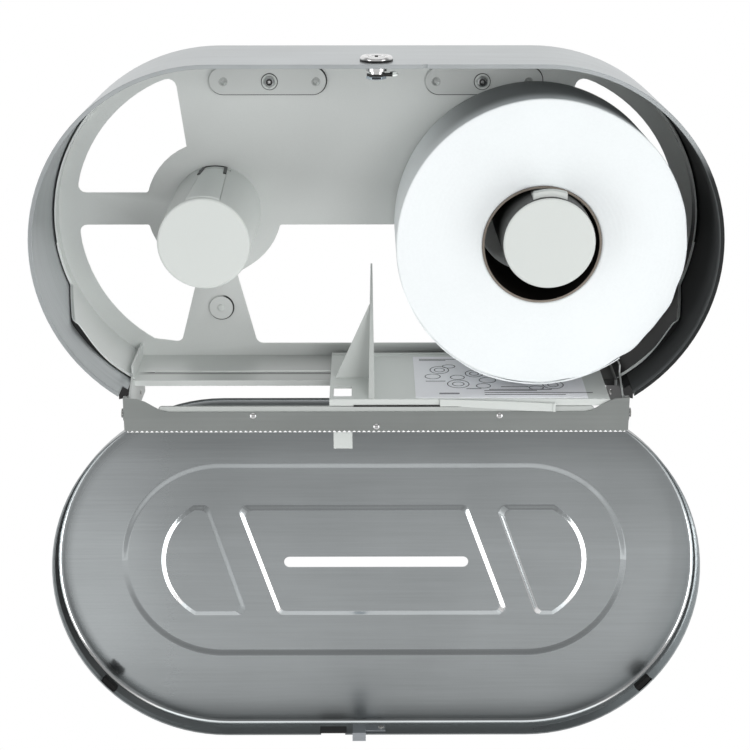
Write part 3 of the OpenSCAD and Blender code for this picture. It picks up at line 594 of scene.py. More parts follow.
class DISPENSER_OT_door(bpy.types.Operator):
    """Makes the drawn and embossed door with its arms"""
    bl_idname = "dispenser.door"
    bl_label = "Door"

    def execute(self, context):
        bm = bmesh.new()
        self.pan(bm)
        self.walls(bm)
        self.arms(bm)
        paint(bm, self.tone)
        turn_open(bm)
        face_out(bm)
        make_piece("embossed_door", bm, "cover", "door", ("door",), sharp=50.0)
        return {"FINISHED"}

    def tone(self, co, normal):
        """Painted highlights on the embossed steps, the bead and the fold, painted shade on the left
        half-round panel's slant, flat faces a little lighter towards the left end, and painted dark
        reflection on the wall next to the fold
        """
        out = outward(co)
        inset = R_OUT - out.length
        if inset < 8.0:
            return self.rim_tone(out.normalized(), normal, inset, RIM_Y - co.y)
        across = math.hypot(normal.x, normal.z)
        if across < 0.17 or abs(co.y - FACE_Y - SHEET) > 2.0 or abs(normal.y) < 0.2:
            return 1.0 + 0.13 * ease(-co.x, 140.0, 235.0)
        on_bead = abs(co.x) > 175.0 or abs(co.z + 2.7) > 60.0
        if on_bead:
            return 1.15 if normal.z < 0.0 else (1.5 if co.x > 175.0 else 1.3)
        above_foot = co.z - PANEL_LOW
        if co.x < -70.0 and normal.x > 0.1 and abs(co.x - (LEAN_LEFT * above_foot - 137.5)) < 12.0:
            return 0.88
        if co.x > 96.0 and normal.x < -0.1 and abs(co.x - (LEAN_RIGHT * above_foot + 97.9)) < 12.0:
            return 2.1 if across < 0.4 else 1.35
        flat = 1.3 if normal.z > 0.0 else 1.5
        return flat + (2.1 - flat) * ease(abs(normal.x) / across, 0.45, 0.8)

    def rim_tone(self, out, normal, inset, depth):
        """Painted light on the pan's wall and its fold: a painted highlight along the fold, and on the wall a
        band of painted dark reflection, the wall lighter on the right and darker on the left; out points from
        the middle to the rim
        """
        if normal.dot(out) > 0.0:
            return 1.0
        left, right = max(0.0, -out.x), max(0.0, out.x)
        if 0.55 < abs(normal.y) < 0.85 and depth > DOOR_DEEP - 7.0:
            return 1.9 + 0.6 * max(0.0, out.z)
        if abs(normal.y) < 0.5 and inset < 3.5:
            band = ease(depth, 6.0, 9.0) * left + ease(depth, 13.0, 16.0) * right
            return (1.0 - 0.2 * left + 0.6 * right) * (1.0 - 0.85 * min(1.0, band))
        return 1.0

    def shoulder(self, bm, loop, outline, y0, y1, width):
        """Sloping step whose foot and brow are rounded; outline(g) is moved inwards by g"""
        for t in (0.08, 0.2, 0.4, 0.6, 0.8, 0.92, 1.0):
            if t < 0.2:
                k = 2.5 * t * t
            elif t > 0.8:
                k = 1.0 - 2.5 * (1.0 - t) ** 2
            else:
                k = 0.1 + 0.8 * (t - 0.2) / 0.6
            loop = extrude_to(bm, loop, at_depth(outline(width * t), y0 + (y1 - y0) * k))
        return loop

    def pan(self, bm):
        """Inner surface, from the rim to the slot"""
        inner = FACE_Y + SHEET
        loop = first_loop(bm, stadium(SHEET, RIM_Y))
        for depth in (3.0, 6.0, 7.5, 9.0, 13.0, 17.0, 18.5):
            loop = extrude_to(bm, loop, stadium(SHEET, RIM_Y - depth))
        loop = extrude_to(bm, loop, stadium(SHEET, FACE_Y + 5.0))
        for k in range(1, 7):
            a = math.radians(15.0 * k)
            loop = extrude_to(bm, loop, stadium(5.0 - 4.0 * math.cos(a), FACE_Y + 5.0 - 4.0 * math.sin(a)))
        loop = extrude_to(bm, loop, stadium(14.0, inner))
        loop = extrude_to(bm, loop, self.bead(-1.0, inner))
        for t in (0.1, 0.25, 0.5, 0.75, 0.9, 1.0):
            k = 2.0 * t * t if t < 0.5 else 1.0 - 2.0 * (1.0 - t) ** 2
            loop = extrude_to(bm, loop, self.bead(6.0 * t - 1.0, inner - FIELD_DROP * k))
        low = inner - FIELD_DROP
        high = low + FIELD_DROP
        field = loop_edges(bm, loop)
        for outline, width in ((lambda g: self.half_round(-1, g), 4.6),
                               (lambda g: self.half_round(1, g), 4.6), (self.middle, 4.8)):
            foot = first_loop(bm, at_depth(outline(0.0), low))
            field += loop_edges(bm, foot)
            brow = self.shoulder(bm, foot, outline, low, high, width)
            if outline != self.middle:
                bm.faces.new(brow)
        slot = first_loop(bm, [Vector((p.x, high, p.z)) for p in stadium(0.0, 0.0, 72.0, 4.5, -1.3, 12)])
        panel = loop_edges(bm, brow) + loop_edges(bm, slot)
        for edges in (field, panel):
            bmesh.ops.triangle_fill(bm, use_beauty=True, use_dissolve=False, edges=edges)

    def bead(self, inset, y):
        """Outline of the bead round the sunk field"""
        loop = stadium(inset, y, CX + 2.95, R_OUT - 58.45, -2.7)
        return [point + Vector((-1.6, 0.0, 0.0)) for point in loop]

    def half_round(self, side, g):
        """Outline of the half-round panel on one side, its straight edge leaning to the right"""
        radius = R_OUT - 85.75 - g
        cx, cz = side * (CX - 1.75) - 1.9, -2.0
        z0, z1 = PANEL_LOW + g, PANEL_HIGH - g
        x0, lean = (-CX - 14.4, LEAN_LEFT) if side < 0 else (CX - 25.85, LEAN_RIGHT)
        shift = side * STEP_SLANT * g
        a0, a1 = math.asin((z0 - cz) / radius), math.asin((z1 - cz) / radius)
        turns = [a0 + (a1 - a0) * k / 24 for k in range(25)]
        points = [(cx + side * radius * math.cos(a), cz + radius * math.sin(a), 0.0) for a in turns]
        points += [(x0 + lean * (z - PANEL_LOW) + shift, z, 6.0) for z in (z1, z0)]
        return rounded(points)

    def middle(self, g):
        """Outline of the leaning panel round the slot"""
        z0, z1 = PANEL_LOW + g, PANEL_HIGH - g
        k, lean = STEP_SLANT * g, LEAN_LEFT * g
        return rounded([(7.35 - CX + k + lean, z0, 6.0), (CX - 48.05 - k + lean, z0, 6.0),
                        (CX - 12.25 - k - lean, z1, 6.0), (41.65 - CX + k - lean, z1, 6.0)])

    def walls(self, bm):
        """Cut-outs of the rim, then the sheet's thickness outwards"""
        face_out(bm)
        if sum((f.normal.y * f.calc_area() for f in bm.faces)) < 0.0:
            bmesh.ops.reverse_faces(bm, faces=bm.faces)
        cut_box(bm, (-188.0, FACE_Y + 5.6, -150.0), (188.0, 0.0, 60.0 - R_OUT))
        cut_box(bm, (-46.0, RIM_Y - 12.0, R_OUT - 20.0), (-26.0, 0.0, R_OUT + 5.0))
        bmesh.ops.solidify(bm, geom=list(bm.faces), thickness=SHEET)

    def arms(self, bm):
        """Two flat arms that carry the door on its pins"""
        wall = -math.sqrt(R_OUT ** 2 - (ARM_X + 0.8 - CX) ** 2)
        y, z = HINGE[1], HINGE[2]
        hull = [(y - 4.4, z - 4.8), (RIM_Y - 18.5, wall - 2.2), (RIM_Y - 18.5, wall + 2.3),
                (RIM_Y - 0.5, wall + 2.3), (-108.0, wall - 2.7), (y + 4.6, z + 4.6)]
        for side in (-1, 1):
            points = [(side * ARM_X, a, b) for a, b in hull]
            for k in range(1, 24):
                a = math.radians(45.0 - 180.0 * k / 24.0)
                points.append((side * ARM_X, y + ARM_R * math.cos(a), z + ARM_R * math.sin(a)))
            edges = loop_edges(bm, first_loop(bm, points))
            eye = bmesh.ops.create_circle(bm, segments=32, radius=ARM_EYE_R, matrix=(
                Matrix.Translation((side * ARM_X, y, z)) @ Matrix.Rotation(math.pi / 2, 4, "Y")))
            edges += list({e for v in eye["verts"] for e in v.link_edges})
            filled = bmesh.ops.triangle_fill(bm, use_beauty=True, edges=edges)
            faces = [g for g in filled["geom"] if isinstance(g, bmesh.types.BMFace)]
            thicken(bm, faces, (side * ARM_SHEET, 0.0, 0.0))


class DISPENSER_OT_roll(bpy.types.Operator):
    """Makes the wound paper roll and its board core"""
    bl_idname = "dispenser.roll"
    bl_label = "Paper roll"

    def execute(self, context):
        self.paper()
        self.core()
        self.loose_turns()
        return {"FINISHED"}

    def spun(self, profile, steps):
        bm = bmesh.new()
        turned_ring(bm, profile, ROLL, steps)
        bmesh.ops.remove_doubles(bm, verts=bm.verts, dist=1e-3)
        face_out(bm)
        return bm

    def paper(self):
        """Wound roll with a slightly dented outer turn and a faintly waved front"""
        inner, back, front = CORE_R + 1.9, ROLL_BACK, ROLL_FRONT
        profile = [(inner, back)]
        profile += [(inner + (ROLL_R - 1.0 - inner) * k / 8.0, back) for k in range(1, 9)]
        profile += [(ROLL_R, back - 1.0)]
        profile += [(ROLL_R, back - 1.0 - 84.0 * k / 14.0) for k in range(1, 15)]
        profile += [(ROLL_R - 1.4 + 1.4 * math.cos(math.radians(a)),
                     front + 1.4 - 1.4 * math.sin(math.radians(a))) for a in (0, 30, 60, 90)]
        profile += [(ROLL_R - 1.4 - (ROLL_R - 2.4 - inner) * k / 44.0, front) for k in range(1, 45)]
        profile += [(inner, front + 0.8), (inner, (front + back) / 2.0)]
        bm = self.spun(profile, 180)
        for v in bm.verts:
            dx, dz = v.co.x - ROLL[0], v.co.z - ROLL[1]
            r, a = math.hypot(dx, dz), math.atan2(dz, dx)
            k = 1.0
            if r > ROLL_R - 3.0:
                dent = 0.25 + 0.2 * math.sin(3.0 * a + 0.6) + 0.1 * math.sin(7.0 * a)
                slump = max(0.0, math.cos(a + 0.75)) ** 3
                dent += slump * (0.7 + 0.65 * math.sin(17.0 * a) + 0.35 * math.sin(29.0 * a + v.co.y * 0.02))
                k = (r - max(0.0, dent)) / r
            v.co.x, v.co.z = ROLL[0] + dx * k, ROLL[1] + dz * k
            if v.co.y < front + 0.6 and inner + 1.0 < r < ROLL_R - 1.0:
                wave = math.sin(r * 1.7 + 0.8 * math.sin(a * 2.0)) * math.sin(a * 3.0 + r * 0.11)
                v.co.y += 0.12 + 0.10 * wave
        paint(bm, self.paper_tone)
        make_piece("paper_roll", bm, "paper", "roll", ("tissue_roll",), sharp=60.0, even=False)

    def loose_turns(self):
        """Edges of the last turns, which hang a little free at the roll's foot"""
        bm = bmesh.new()
        for first, last, lift in ((196.0, 292.0, 0.9), (214.0, 305.0, 1.4), (232.0, 284.0, 1.9)):
            rows = []
            for k in range(41):
                a = math.radians(first + (last - first) * k / 40.0)
                ripple = 0.85 + 0.15 * math.sin(9.0 * a + lift * 4.0)
                reach = ROLL_R + lift * math.sin(math.pi * k / 40.0) ** 0.7 * ripple
                wave = 0.5 * math.sin(13.0 * a + 3.0 * lift)
                section = ((-0.9, -72.0), (-0.25, -72.0), (-0.25, -92.6), (-0.9, -92.6))
                rows.append([(ROLL[0] + (reach + g) * math.cos(a), y + wave,
                              ROLL[1] + (reach + g) * math.sin(a)) for g, y in section])
            lay_bar(bm, rows)
        face_out(bm)
        # Painted shade on the sides of the loose turns
        paint(bm, lambda co, normal: 1.0 if normal.y < -0.5 else 0.72)
        make_piece("loose_turns", bm, "paper", "roll", even=False)

    def paper_tone(self, co, normal):
        """Painted shadow on the outer turn's top, towards the wall, and painted shade in the bore"""
        dx, dz = co.x - ROLL[0], co.z - ROLL[1]
        if abs(normal.y) > 0.6:
            return 1.0
        if math.hypot(dx, dz) < ROLL_R - 10.0:
            return 0.1
        top = ease(math.degrees(math.atan2(dz, dx)), 150.0, 110.0) if dz > 0.0 else 0.0
        return 1.0 - 0.65 * top * ease(co.y, -93.0, -60.0)

    def core(self):
        inner, outer, back, front = CORE_R, CORE_R + CORE_BOARD, ROLL_BACK, ROLL_FRONT
        profile = [(inner, back), (outer, back), (outer, front + 0.3), (outer - 0.3, front),
                   (inner + 0.3, front), (inner, front + 0.3)]
        profile += [(inner, front + 88.0 * k / 12.0) for k in range(1, 12)]
        bm = self.spun(profile, 120)
        # Painted shade inside the core
        paint(bm, lambda co, normal: 1.0 if normal.y < -0.5 else 0.04)
        make_piece("board_core", bm, "board", "roll", ("roll_core",), even=False)


class DISPENSER_OT_pressed(bpy.types.Operator):
    """Makes the pressed and moulded pieces with their soft edges"""
    bl_idname = "dispenser.pressed"
    bl_label = "Pressed and moulded pieces"

    def execute(self, context):
        plate = copied("back_plate")
        soften(plate, 0.45)
        score(plate, 1, (-39.0, -39.6, -45.9, -46.5, -52.0, -60.0, -66.0),
              lambda c: abs(c.x) < 188.0 and c.z < -110.0 and -104.0 < c.y < -2.0)
        score(plate, 0, (184.2, 193.8), lambda c: c.z < -100.0)
        paint(plate, self.plate_tone)
        make_piece("soft_back_plate", plate, "plate", "root", ("back_plate",))
        band = copied("housing_band")
        soften(band, 0.5, 3)
        lay_strip(band)
        paint(band, self.band_tone)
        make_piece("soft_housing_band", band, "band", "root", ("housing_band",))
        softened("tear_bar", "apron", 0.25)
        softened("front_rail", "rail", 0.5)
        for side in ("left", "right"):
            softened(side + "_spindle", "shaded", 0.35, tone=self.spindle_tone)
            # Painted light: the left latch is lighter and the right one darker
            softened(side + "_latch", "shaded", 0.3, tone=lambda co, normal: 1.25 if co.x < 0.0 else 0.95)
        # Painted light on the slide's upward faces
        softened("tissue_slide", "slide", 0.35, tone=lambda co, normal: 1.22 if normal.z > 0.95 else 1.0)
        softened("lock_cam", "shaded", 0.3, tone=lambda co, normal: 1.4 if co.x > 12.0 else 0.02)
        softened("lock_body", "chrome", 0.35)
        softened("door_catch", "bright_steel", 0.25)
        for side in ("left", "right"):
            self.bumper(side + "_door_bumper")
        for node in ("lock_nut", "cam_nut"):
            softened(node, "nut", 0.3, tone=self.nut_tone)
        softened("tear_bar_rivets", "chrome", 0.15, 3, 40.0)
        for side in ("left", "right"):
            softened(side + "_pad_screw", "chrome", 0.2)
            softened(side + "_pad_washer", "shaded", 0.85, tone=self.washer_tone)
            softened(side + "_boss_button", "moulding", 0.2)
        return {"FINISHED"}

    def bumper(self, node):
        """Rubber block with rounded edges, drawn a fifth smaller than its solid"""
        bm = copied(node)
        middle = sum((v.co for v in bm.verts), Vector()) / len(bm.verts)
        bmesh.ops.scale(bm, vec=(0.8, 0.8, 0.8), verts=bm.verts, space=Matrix.Translation(-middle))
        soften(bm, 0.8, 3)
        make_piece("soft_" + node, bm, "rubber", "door", (node,))

    def nut_tone(self, co, normal):
        """Painted shade: the end faces of the nuts, and faces square to the front or back, are dark"""
        return 0.08 if abs(normal.z) > 0.9 or abs(normal.y) > 0.99 else 1.0

    def plate_tone(self, co, normal):
        """Painted shade on the ear, flange and shelf end on the right, on the pads' faces, on the walls of
        pads and bosses, darkest away from the light, on the hub round the left spindle and on the shelf's
        lip; painted highlights on the ears' front edges; the shelf is painted by shelf_tone
        """
        x, y, z = co
        if 184.0 < x < 194.0 and z < -95.0:
            return 0.06
        if x > 183.0 and z < 60.0 and normal.x < -0.3:
            return 1.0 - 0.96 * ease(z, 60.0, -20.0)
        if abs(x) > SHELF_HALF and normal.y < -0.7 and y < -10.0:
            return 1.3
        if abs(x) < SHELF_HALF and z < -110.0 and normal.z > 0.7:
            return self.shelf_tone(-y)
        if abs(x) < SHELF_HALF and z < -110.0 and y < -55.0:
            return 0.62
        if abs(z - PAD_Z) < 15.0 and 33.0 < abs(x) < 138.0 and (y < -3.4 or abs(normal.y) < 0.9):
            if abs(normal.y) > 0.9:
                return 0.87
            return 0.05 if normal.x > 0.25 or normal.z < -0.3 else 0.6
        if math.hypot(abs(x) - BOSS[0], z - BOSS[1]) < 13.0 and abs(normal.y) < 0.9:
            return 0.1 if normal.x > 0.2 or normal.z < -0.3 else 0.7
        if normal.y < -0.9 and x < -140.0:
            return 0.74 + 0.34 * ease(math.hypot(x + SPINDLE[0], z - SPINDLE[1]), 40.0, 80.0)
        return 1.0

    def shelf_tone(self, forward):
        """Painted light near the wall, a narrow band of painted shade along the groove, then painted shade on
        the lip
        """
        if forward < 39.3:
            return 1.36
        if forward < 46.2:
            return 0.2
        return 0.42 + 0.3 * ease(forward, 47.0, 66.0)

    def washer_tone(self, co, normal):
        """Painted shade on the rim and in the bore, round a light face"""
        radius = math.hypot(abs(co.x) - PAD_SCREW, co.z - PAD_Z)
        return 0.9 if 4.9 < radius < 6.0 else 0.03

    def spindle_tone(self, co, normal):
        """Painted shade on the flank away from the light, and on the whole wall inside the roll"""
        if normal.y < -0.6:
            return 1.0
        if co.x > 0.0:
            return 0.08
        return 1.06 - 0.24 * ease(-normal.x, 0.2, 0.95)

    def band_tone(self, co, normal):
        """Painted shade: the inner side is darker all round, much darker at the right end, less so close to
        its front edge, and the front edge is darker down the curved ends, most of all on the right
        """
        turn = math.degrees(math.atan2(abs(co.x) - CX, co.z)) if abs(co.x) > CX else 0.0
        if normal.dot(outward(co).normalized()) > -0.3:
            rim = ease(-normal.y, 0.15, 0.3) * ease(turn, 48.0, 68.0)
            return 1.0 - (0.93 if co.x > CX else 0.22) * rim
        if co.x < CX:
            return 0.9 - 0.04 * ease(turn, 60.0, 80.0)
        dark = ease(turn, 45.0, 61.0) * (1.0 - 0.3 * ease(co.y, -98.0, -108.0))
        return 0.85 - 0.81 * dark


class DISPENSER_OT_details(bpy.types.Operator):
    """Adds the small pressed and printed details, the dark ring under the lock, and strips of painted shade
    and painted highlight
    """
    bl_idname = "dispenser.details"
    bl_label = "Small details"

    def execute(self, context):
        for make in (self.dimples, self.raised_edges, self.flange_shade_and_highlight, self.under_head_ring, self.tooth_glints,
                     self.slot_shade, self.label_print, self.finger_slits, self.slide_slit):
            make()
        return {"FINISHED"}

    def dimples(self):
        """Small dished marks at both ends of the raised pads"""
        bm = bmesh.new()
        for side in (-1, 1):
            for x in (122.0, 48.0):
                turned_ring(bm, ((3.7, -4.45), (3.5, -4.75), (2.9, -4.7), (1.5, -3.3), (0.0, -3.2),
                                 (0.0, -2.9), (2.6, -3.1), (2.64, -4.4)), (side * x, PAD_Z))
        bmesh.ops.remove_doubles(bm, verts=bm.verts, dist=1e-3)
        face_out(bm)
        # Painted highlight on the side facing up and to the left, painted shade on the rest
        paint(bm, lambda co, normal: 1.15 if normal.x < -0.2 and normal.z > 0.1 else 0.66)
        make_piece("hole_dimples", bm, "plate", "root")

    def raised_edges(self):
        """Narrow strips round the raised pads and the bosses, with painted shadow on the side away from the
        light
        """
        bm = bmesh.new()
        for side in (-1, 1):
            middle = Vector((side * PAD_X, 0.0, PAD_MIDDLE))
            lay_ribbon(bm, [[p + middle for p in stadium(-grow, -1.6, PAD_HALF, PAD_R, 0.0, 16)]
                            for grow in (0.9, -0.3)], True)
            lay_ribbon(bm, [circle_points((side * BOSS[0], BOSS[1]), r, -1.6, 48) for r in (10.8, 9.6)], True)
        face_out(bm)
        paint(bm, self.pad_shadow_tone)
        make_piece("raised_edges", bm, "plate", "root")

    def pad_shadow_tone(self, co, normal):
        """Painted shadow where the strip lies to the right of its pad or boss, and below it; a little painted
        shade elsewhere
        """
        out = Vector((abs(co.x) - BOSS[0], co.z - BOSS[1]))
        if co.z > 0.0:
            along_pad = abs(co.x) - PAD_X
            out = Vector((along_pad - max(-PAD_HALF, min(PAD_HALF, along_pad)), co.z - PAD_MIDDLE))
        out = out.normalized()
        right = math.copysign(1.0, co.x) * out.x
        dark = max(ease(right, -0.1, 0.5), ease(-out.y, 0.1, 0.6) * ease(right, -0.95, -0.4))
        return 0.85 - 0.8 * dark

    def flange_shade_and_highlight(self):
        """Dark strips of painted shade in the gaps beside the flange, low between the band's ends and the
        ears, and round the pad screws' tips, and a painted highlight on the flange's edge
        """
        gap, edge = bmesh.new(), bmesh.new()
        outer = R_OUT - 1.25
        for side in (-1, 1):
            rails = ([], [], [])
            for k in range(61):
                turn = math.radians(97.0 + 51.6 * k / 60.0)
                z = outer * math.cos(turn)
                wide = 1.0 + 3.0 * ease(-z, 68.0, 75.0) * (1.0 - ease(-z, 76.0, 108.0))
                for rail, r in zip(rails, (outer, outer - wide, outer - wide - 0.9)):
                    rail.append(Vector((side * (CX + r * math.sin(turn)), self.flange_front(z),
                                        r * math.cos(turn))))
            lay_ribbon(gap, rails[:2])
            lay_ribbon(edge, rails[1:])
            corner = [Vector((side * x, -60.0, z))
                      for x, z in ((199.7, -114.5), (209.5, -119.0), (199.7, -134.5), (209.5, -136.5))]
            lay_ribbon(gap, (corner[:2], corner[2:]))
            lay_ribbon(gap, [circle_points((side * PAD_SCREW, PAD_Z), r, -7.8, 32) for r in (2.7, 1.3)], True)
        for bm in (gap, edge):
            face_out(bm)
        paint(edge, lambda co, normal: 1.5)
        make_piece("flange_gap_shade", gap, "ring", "root")
        make_piece("flange_edge_highlight", edge, "plate", "root")

    def flange_front(self, z):
        """How far forward the flange's edge stands at a height"""
        stops = ((-52.85, 14.0), (-69.85, 60.0), (-72.55, 62.0))
        if z >= stops[0][0]:
            return -stops[0][1] - 0.3
        for (z0, d0), (z1, d1) in zip(stops, stops[1:]):
            if z >= z1:
                return -(d0 + (d1 - d0) * (z0 - z) / (z0 - z1)) - 0.3
        return -stops[-1][1] - 0.3

    def under_head_ring(self):
        """Dark ring under the lock's head"""
        bm = bmesh.new()
        turned_ring(bm, [(r, R_OUT + y) for r, y in ((12.35, 0.05), (12.45, 1.0), (12.25, 1.4), (11.0, 1.3),
                                                     (11.0, 0.05))], (0.0, 0.0), 64)
        bmesh.ops.remove_doubles(bm, verts=bm.verts, dist=1e-3)
        bmesh.ops.rotate(bm, verts=bm.verts, matrix=Matrix.Rotation(math.pi / 2, 3, "X"))
        bmesh.ops.translate(bm, verts=bm.verts, vec=(0.0, -90.0, 0.0))
        face_out(bm)
        make_piece("lock_under_head_ring", bm, "ring", "root")

    def tooth_glints(self):
        """Painted highlight: a white strip that shows between the teeth as glints"""
        bm = bmesh.new()
        add_box(bm, (-197.0, -105.8, -148.1), (197.0, -105.3, -146.9))
        make_piece("tooth_glints", bm, "white", "root")

    def slot_shade(self):
        """Painted shade: a dark box behind the slot in the door's rim"""
        bm = bmesh.new()
        add_box(bm, (-47.0, RIM_Y - 13.0, R_OUT - 2.2), (-25.0, RIM_Y - 0.6, R_OUT - 1.05))
        turn_open(bm)
        make_piece("slot_shade", bm, "ring", "door")

    def finger_slits(self):
        """Dark strips of painted shade on each spindle's wall at the root ends of the slots that free its
        spring finger
        """
        bm = bmesh.new()
        for side in (-1, 1):
            middle = side * SPINDLE[0]
            for foot, head in ((-11.4, -9.3), (9.4, 8.7)):
                route = [(head + (foot - head) * k / 8.0, -2.6 - 3.0 * k) for k in range(9)]
                self.lay_slit(bm, middle, route, 2.4)
            self.lay_slit(bm, middle, [(-10.0 + 20.0 * k / 12.0, -3.2) for k in range(13)], 0.0, 0.7)
        face_out(bm)
        make_piece("finger_slits", bm, "ring", "root")

    def lay_slit(self, bm, middle, route, width, depth=0.0):
        """Thin strip that lies on the spindle's round wall along a route of (x from its middle, y)"""
        rows = []
        for x, y in route:
            one, two = (x - width / 2.0, y + depth / 2.0), (x + width / 2.0, y - depth / 2.0)
            rows.append([(middle + a, b, SPINDLE[1] + math.sqrt((SPINDLE_R + lift) ** 2 - a * a))
                         for (a, b), lift in ((one, -0.6), (two, -0.6), (two, 0.7), (one, 0.7))])
        lay_bar(bm, rows)

    def slide_slit(self):
        """Dark strip of painted shade in the slit between the slide's front lip and the rail"""
        bm = bmesh.new()
        add_box(bm, (-18.0, -105.3, -127.2), (97.5, -104.7, -125.7))
        make_piece("slide_slit", bm, "ring", "slide")

    def label_print(self):
        """Plain line drawings and rules on the slide's label, with no words"""
        bm = bmesh.new()
        ovals = ((52.0, -44.0, 16.0, 16.0), (52.0, -44.0, 9.0, 9.0), (80.0, -52.0, 15.0, 15.0),
                 (80.0, -52.0, 8.0, 8.0), (66.0, -74.0, 18.0, 17.0), (66.0, -74.0, 10.0, 9.0),
                 (142.0, -76.0, 17.0, 17.0), (142.0, -76.0, 9.0, 9.0), (46.0, -58.0, 13.0, 11.0),
                 (66.0, -60.0, 12.0, 10.0), (90.0, -66.0, 14.0, 12.0), (86.0, -78.0, 12.0, 10.0),
                 (60.0, -36.0, 11.0, 8.0), (128.0, -82.0, 12.0, 8.0))
        rules = ((36.0, 70.0, -20.0), (86.0, 128.0, -88.0), (86.0, 172.0, -92.0), (86.0, 150.0, -96.0),
                 (100.0, 122.0, -80.0), (50.0, 66.0, -93.0), (50.0, 66.0, -94.6), (36.0, 58.0, -22.5),
                 (90.0, 140.0, -85.5), (40.0, 56.0, -68.0), (72.0, 84.0, -84.0))
        for x, y, wide, deep in ovals:
            self.oval(bm, x, y, wide, deep, 0.7)
        for x0, x1, y in rules:
            add_box(bm, (x0, y - 0.5, 0.0), (x1, y + 0.5, PRINT_THICK))
        for v in bm.verts:
            v.co.z += self.floor_height(v.co.y) + PRINT_LIFT
        make_piece("label_print", bm, "print", "slide")

    def floor_height(self, y):
        """Height of the slide's sloping floor"""
        return -115.307 + 0.058 * (y + 6.0)

    def oval(self, bm, x, y, wide, deep, line):
        """Flat oval ring; line is the width of its stroke"""
        loops = []
        for w, d in ((wide, deep), (wide - 2.0 * line, deep - 2.0 * line)):
            made = bmesh.ops.create_circle(bm, segments=40, radius=0.5)
            bmesh.ops.scale(bm, vec=(w, d, 1.0), verts=made["verts"])
            bmesh.ops.translate(bm, vec=(x, y, 0.0), verts=made["verts"])
            loops += list({e for v in made["verts"] for e in v.link_edges})
        thicken(bm, bmesh.ops.bridge_loops(bm, edges=loops)["faces"], (0.0, 0.0, PRINT_THICK))
        face_out(bm)


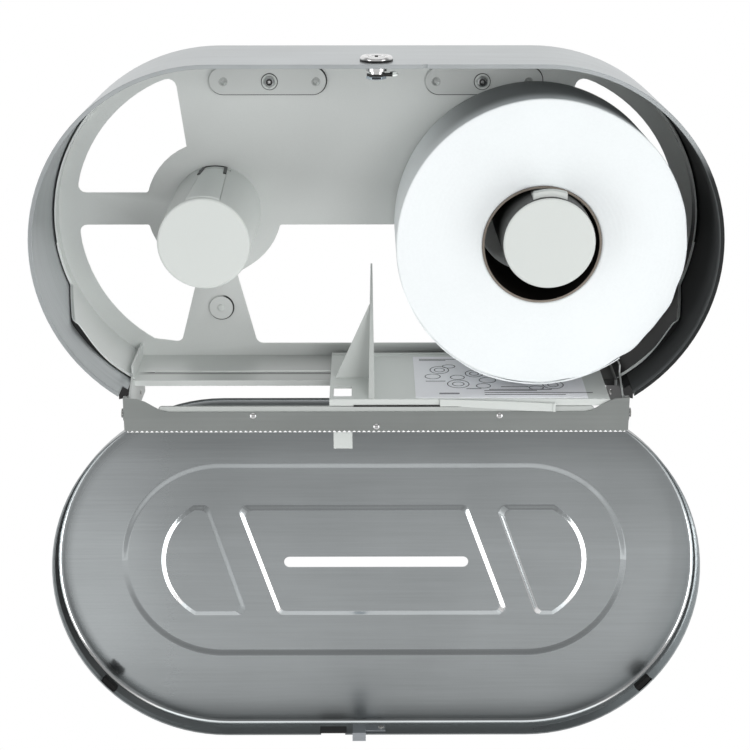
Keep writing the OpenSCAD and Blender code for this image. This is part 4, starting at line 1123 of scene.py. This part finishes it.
class DISPENSER_OT_stage(bpy.types.Operator):
    """Makes the floor, the soft studio lamps, the world and the camera at the photograph's angle"""
    bl_idname = "dispenser.stage"
    bl_label = "Stage"

    def execute(self, context):
        scene = context.scene
        self.world(scene)
        self.floor(scene)
        self.lamps(scene)
        self.camera(scene)
        scene.view_settings.view_transform = "Standard"
        return {"FINISHED"}

    def world(self, scene):
        """White to the camera, soft grey light, and a room with a dark middle in the reflections"""
        world = bpy.data.worlds.new("Studio")
        scene.world = world
        world.use_nodes = True
        tree = world.node_tree
        tree.nodes.clear()
        path = add_node(tree, "LightPath").outputs
        way = add_node(tree, "SeparateXYZ", {0: texture_coords(tree, "Generated")}).outputs
        up = maths(tree, "MULTIPLY_ADD", way["Z"], 0.5, 0.5)
        soft = ramp(tree, up, ((0.30, 0.42), (0.95, 0.50)))
        room = ramp(tree, up, ((0.36, 0.85), (0.46, 0.66), (0.56, 0.36), (0.75, 0.26), (0.84, 0.30),
                               (0.92, 1.0)))
        behind = ramp(tree, way["Y"], ((0.0, 0.0), (0.4, 1.0)))
        mirrored = maths(tree, "MAXIMUM", path["Is Glossy Ray"], path["Is Transmission Ray"])
        light = mixed(tree, mirrored, soft, mixed(tree, behind, room, WHITE))
        back = add_node(tree, "Background", {"Color": mixed(tree, path["Is Camera Ray"], light, WHITE)})
        add_node(tree, "OutputWorld", {"Surface": back.outputs[0]})

    def floor(self, scene):
        """Pale floor that the camera sees as white"""
        bm = bmesh.new()
        bmesh.ops.create_grid(bm, x_segments=2, y_segments=2, size=4.0)
        bmesh.ops.translate(bm, verts=bm.verts, vec=(0.0, 0.0, -1.2))
        mesh = bpy.data.meshes.new("floor")
        bm.to_mesh(mesh)
        bm.free()
        obj = bpy.data.objects.new("floor", mesh)
        scene.collection.objects.link(obj)
        mat, tree, bsdf = new_material("Floor", {"Base Color": (0.85, 0.85, 0.85, 1.0), "Roughness": 0.9})
        glow = add_node(tree, "Emission")
        path = add_node(tree, "LightPath")
        mix = add_node(tree, "MixShader", {"Fac": path.outputs["Is Camera Ray"], 1: bsdf.outputs[0],
                                           2: glow.outputs[0]})
        out = next(n for n in tree.nodes if n.type == "OUTPUT_MATERIAL")
        tree.links.new(mix.outputs[0], out.inputs["Surface"])
        mesh.materials.append(mat)

    def lamps(self, scene):
        for name, place, aim, size, power in (
                ("key lamp", (0.80, -1.8, 0.36), (0.0, 0.0, -0.1), (0.8, 0.8), 13.0),
                ("left lamp", (-1.22, -1.0, -0.45), (0.0, -0.1, -0.2), (0.75, 1.35), 8.0),
                ("right lamp", (1.22, -1.0, -0.45), (0.0, -0.1, -0.2), (0.75, 1.35), 8.0)):
            data = bpy.data.lights.new(name, "AREA")
            data.shape = "RECTANGLE"
            data.size, data.size_y = size
            data.energy = power
            obj = bpy.data.objects.new(name, data)
            scene.collection.objects.link(obj)
            obj.location = place
            obj.visible_glossy = name != "key lamp"
            obj.rotation_euler = (Vector(aim) - Vector(place)).to_track_quat("-Z", "Y").to_euler()

    def camera(self, scene):
        s = scene.dispenser_camera
        data = bpy.data.cameras.new("camera")
        data.sensor_width = SENSOR_MM
        data.lens = s.focal_px * SENSOR_MM / IMAGE_PX
        data.shift_y = s.centre_drop_px / IMAGE_PX
        data.clip_start = 0.05
        obj = bpy.data.objects.new("camera", data)
        scene.collection.objects.link(obj)
        forward = Vector((math.sin(s.yaw) * math.cos(s.pitch), math.cos(s.yaw) * math.cos(s.pitch),
                          -math.sin(s.pitch)))
        right = Vector((math.cos(s.yaw), -math.sin(s.yaw), 0.0))
        up = right.cross(forward)
        turn = Matrix((right, up, -forward)).transposed()
        obj.matrix_world = Matrix.Translation(Vector(s.place)) @ turn.to_4x4()
        scene.camera = obj


class DISPENSER_PT_panel(bpy.types.Panel):
    """Lists the steps that dress the dispenser"""
    bl_idname = "DISPENSER_PT_panel"
    bl_label = "Dispenser"
    bl_space_type = "VIEW_3D"
    bl_region_type = "UI"
    bl_category = "Dispenser"

    def draw(self, context):
        for step in STEPS:
            self.layout.operator(step.bl_idname)


STEPS = (DISPENSER_OT_finishes, DISPENSER_OT_pressed, DISPENSER_OT_door, DISPENSER_OT_roll,
         DISPENSER_OT_details, DISPENSER_OT_stage)
CLASSES = (CameraSettings, FinishSettings) + STEPS + (DISPENSER_PT_panel,)


def register():
    for cls in CLASSES:
        bpy.utils.register_class(cls)
    bpy.types.Scene.dispenser_camera = bpy.props.PointerProperty(type=CameraSettings)
    bpy.types.Scene.dispenser_finish = bpy.props.PointerProperty(type=FinishSettings)


def unregister():
    del bpy.types.Scene.dispenser_finish
    del bpy.types.Scene.dispenser_camera
    for cls in reversed(CLASSES):
        bpy.utils.unregister_class(cls)


def main():
    register()
    for step in STEPS:
        group, name = step.bl_idname.split(".")
        getattr(getattr(bpy.ops, group), name)()


if __name__ == "__main__":
    main()
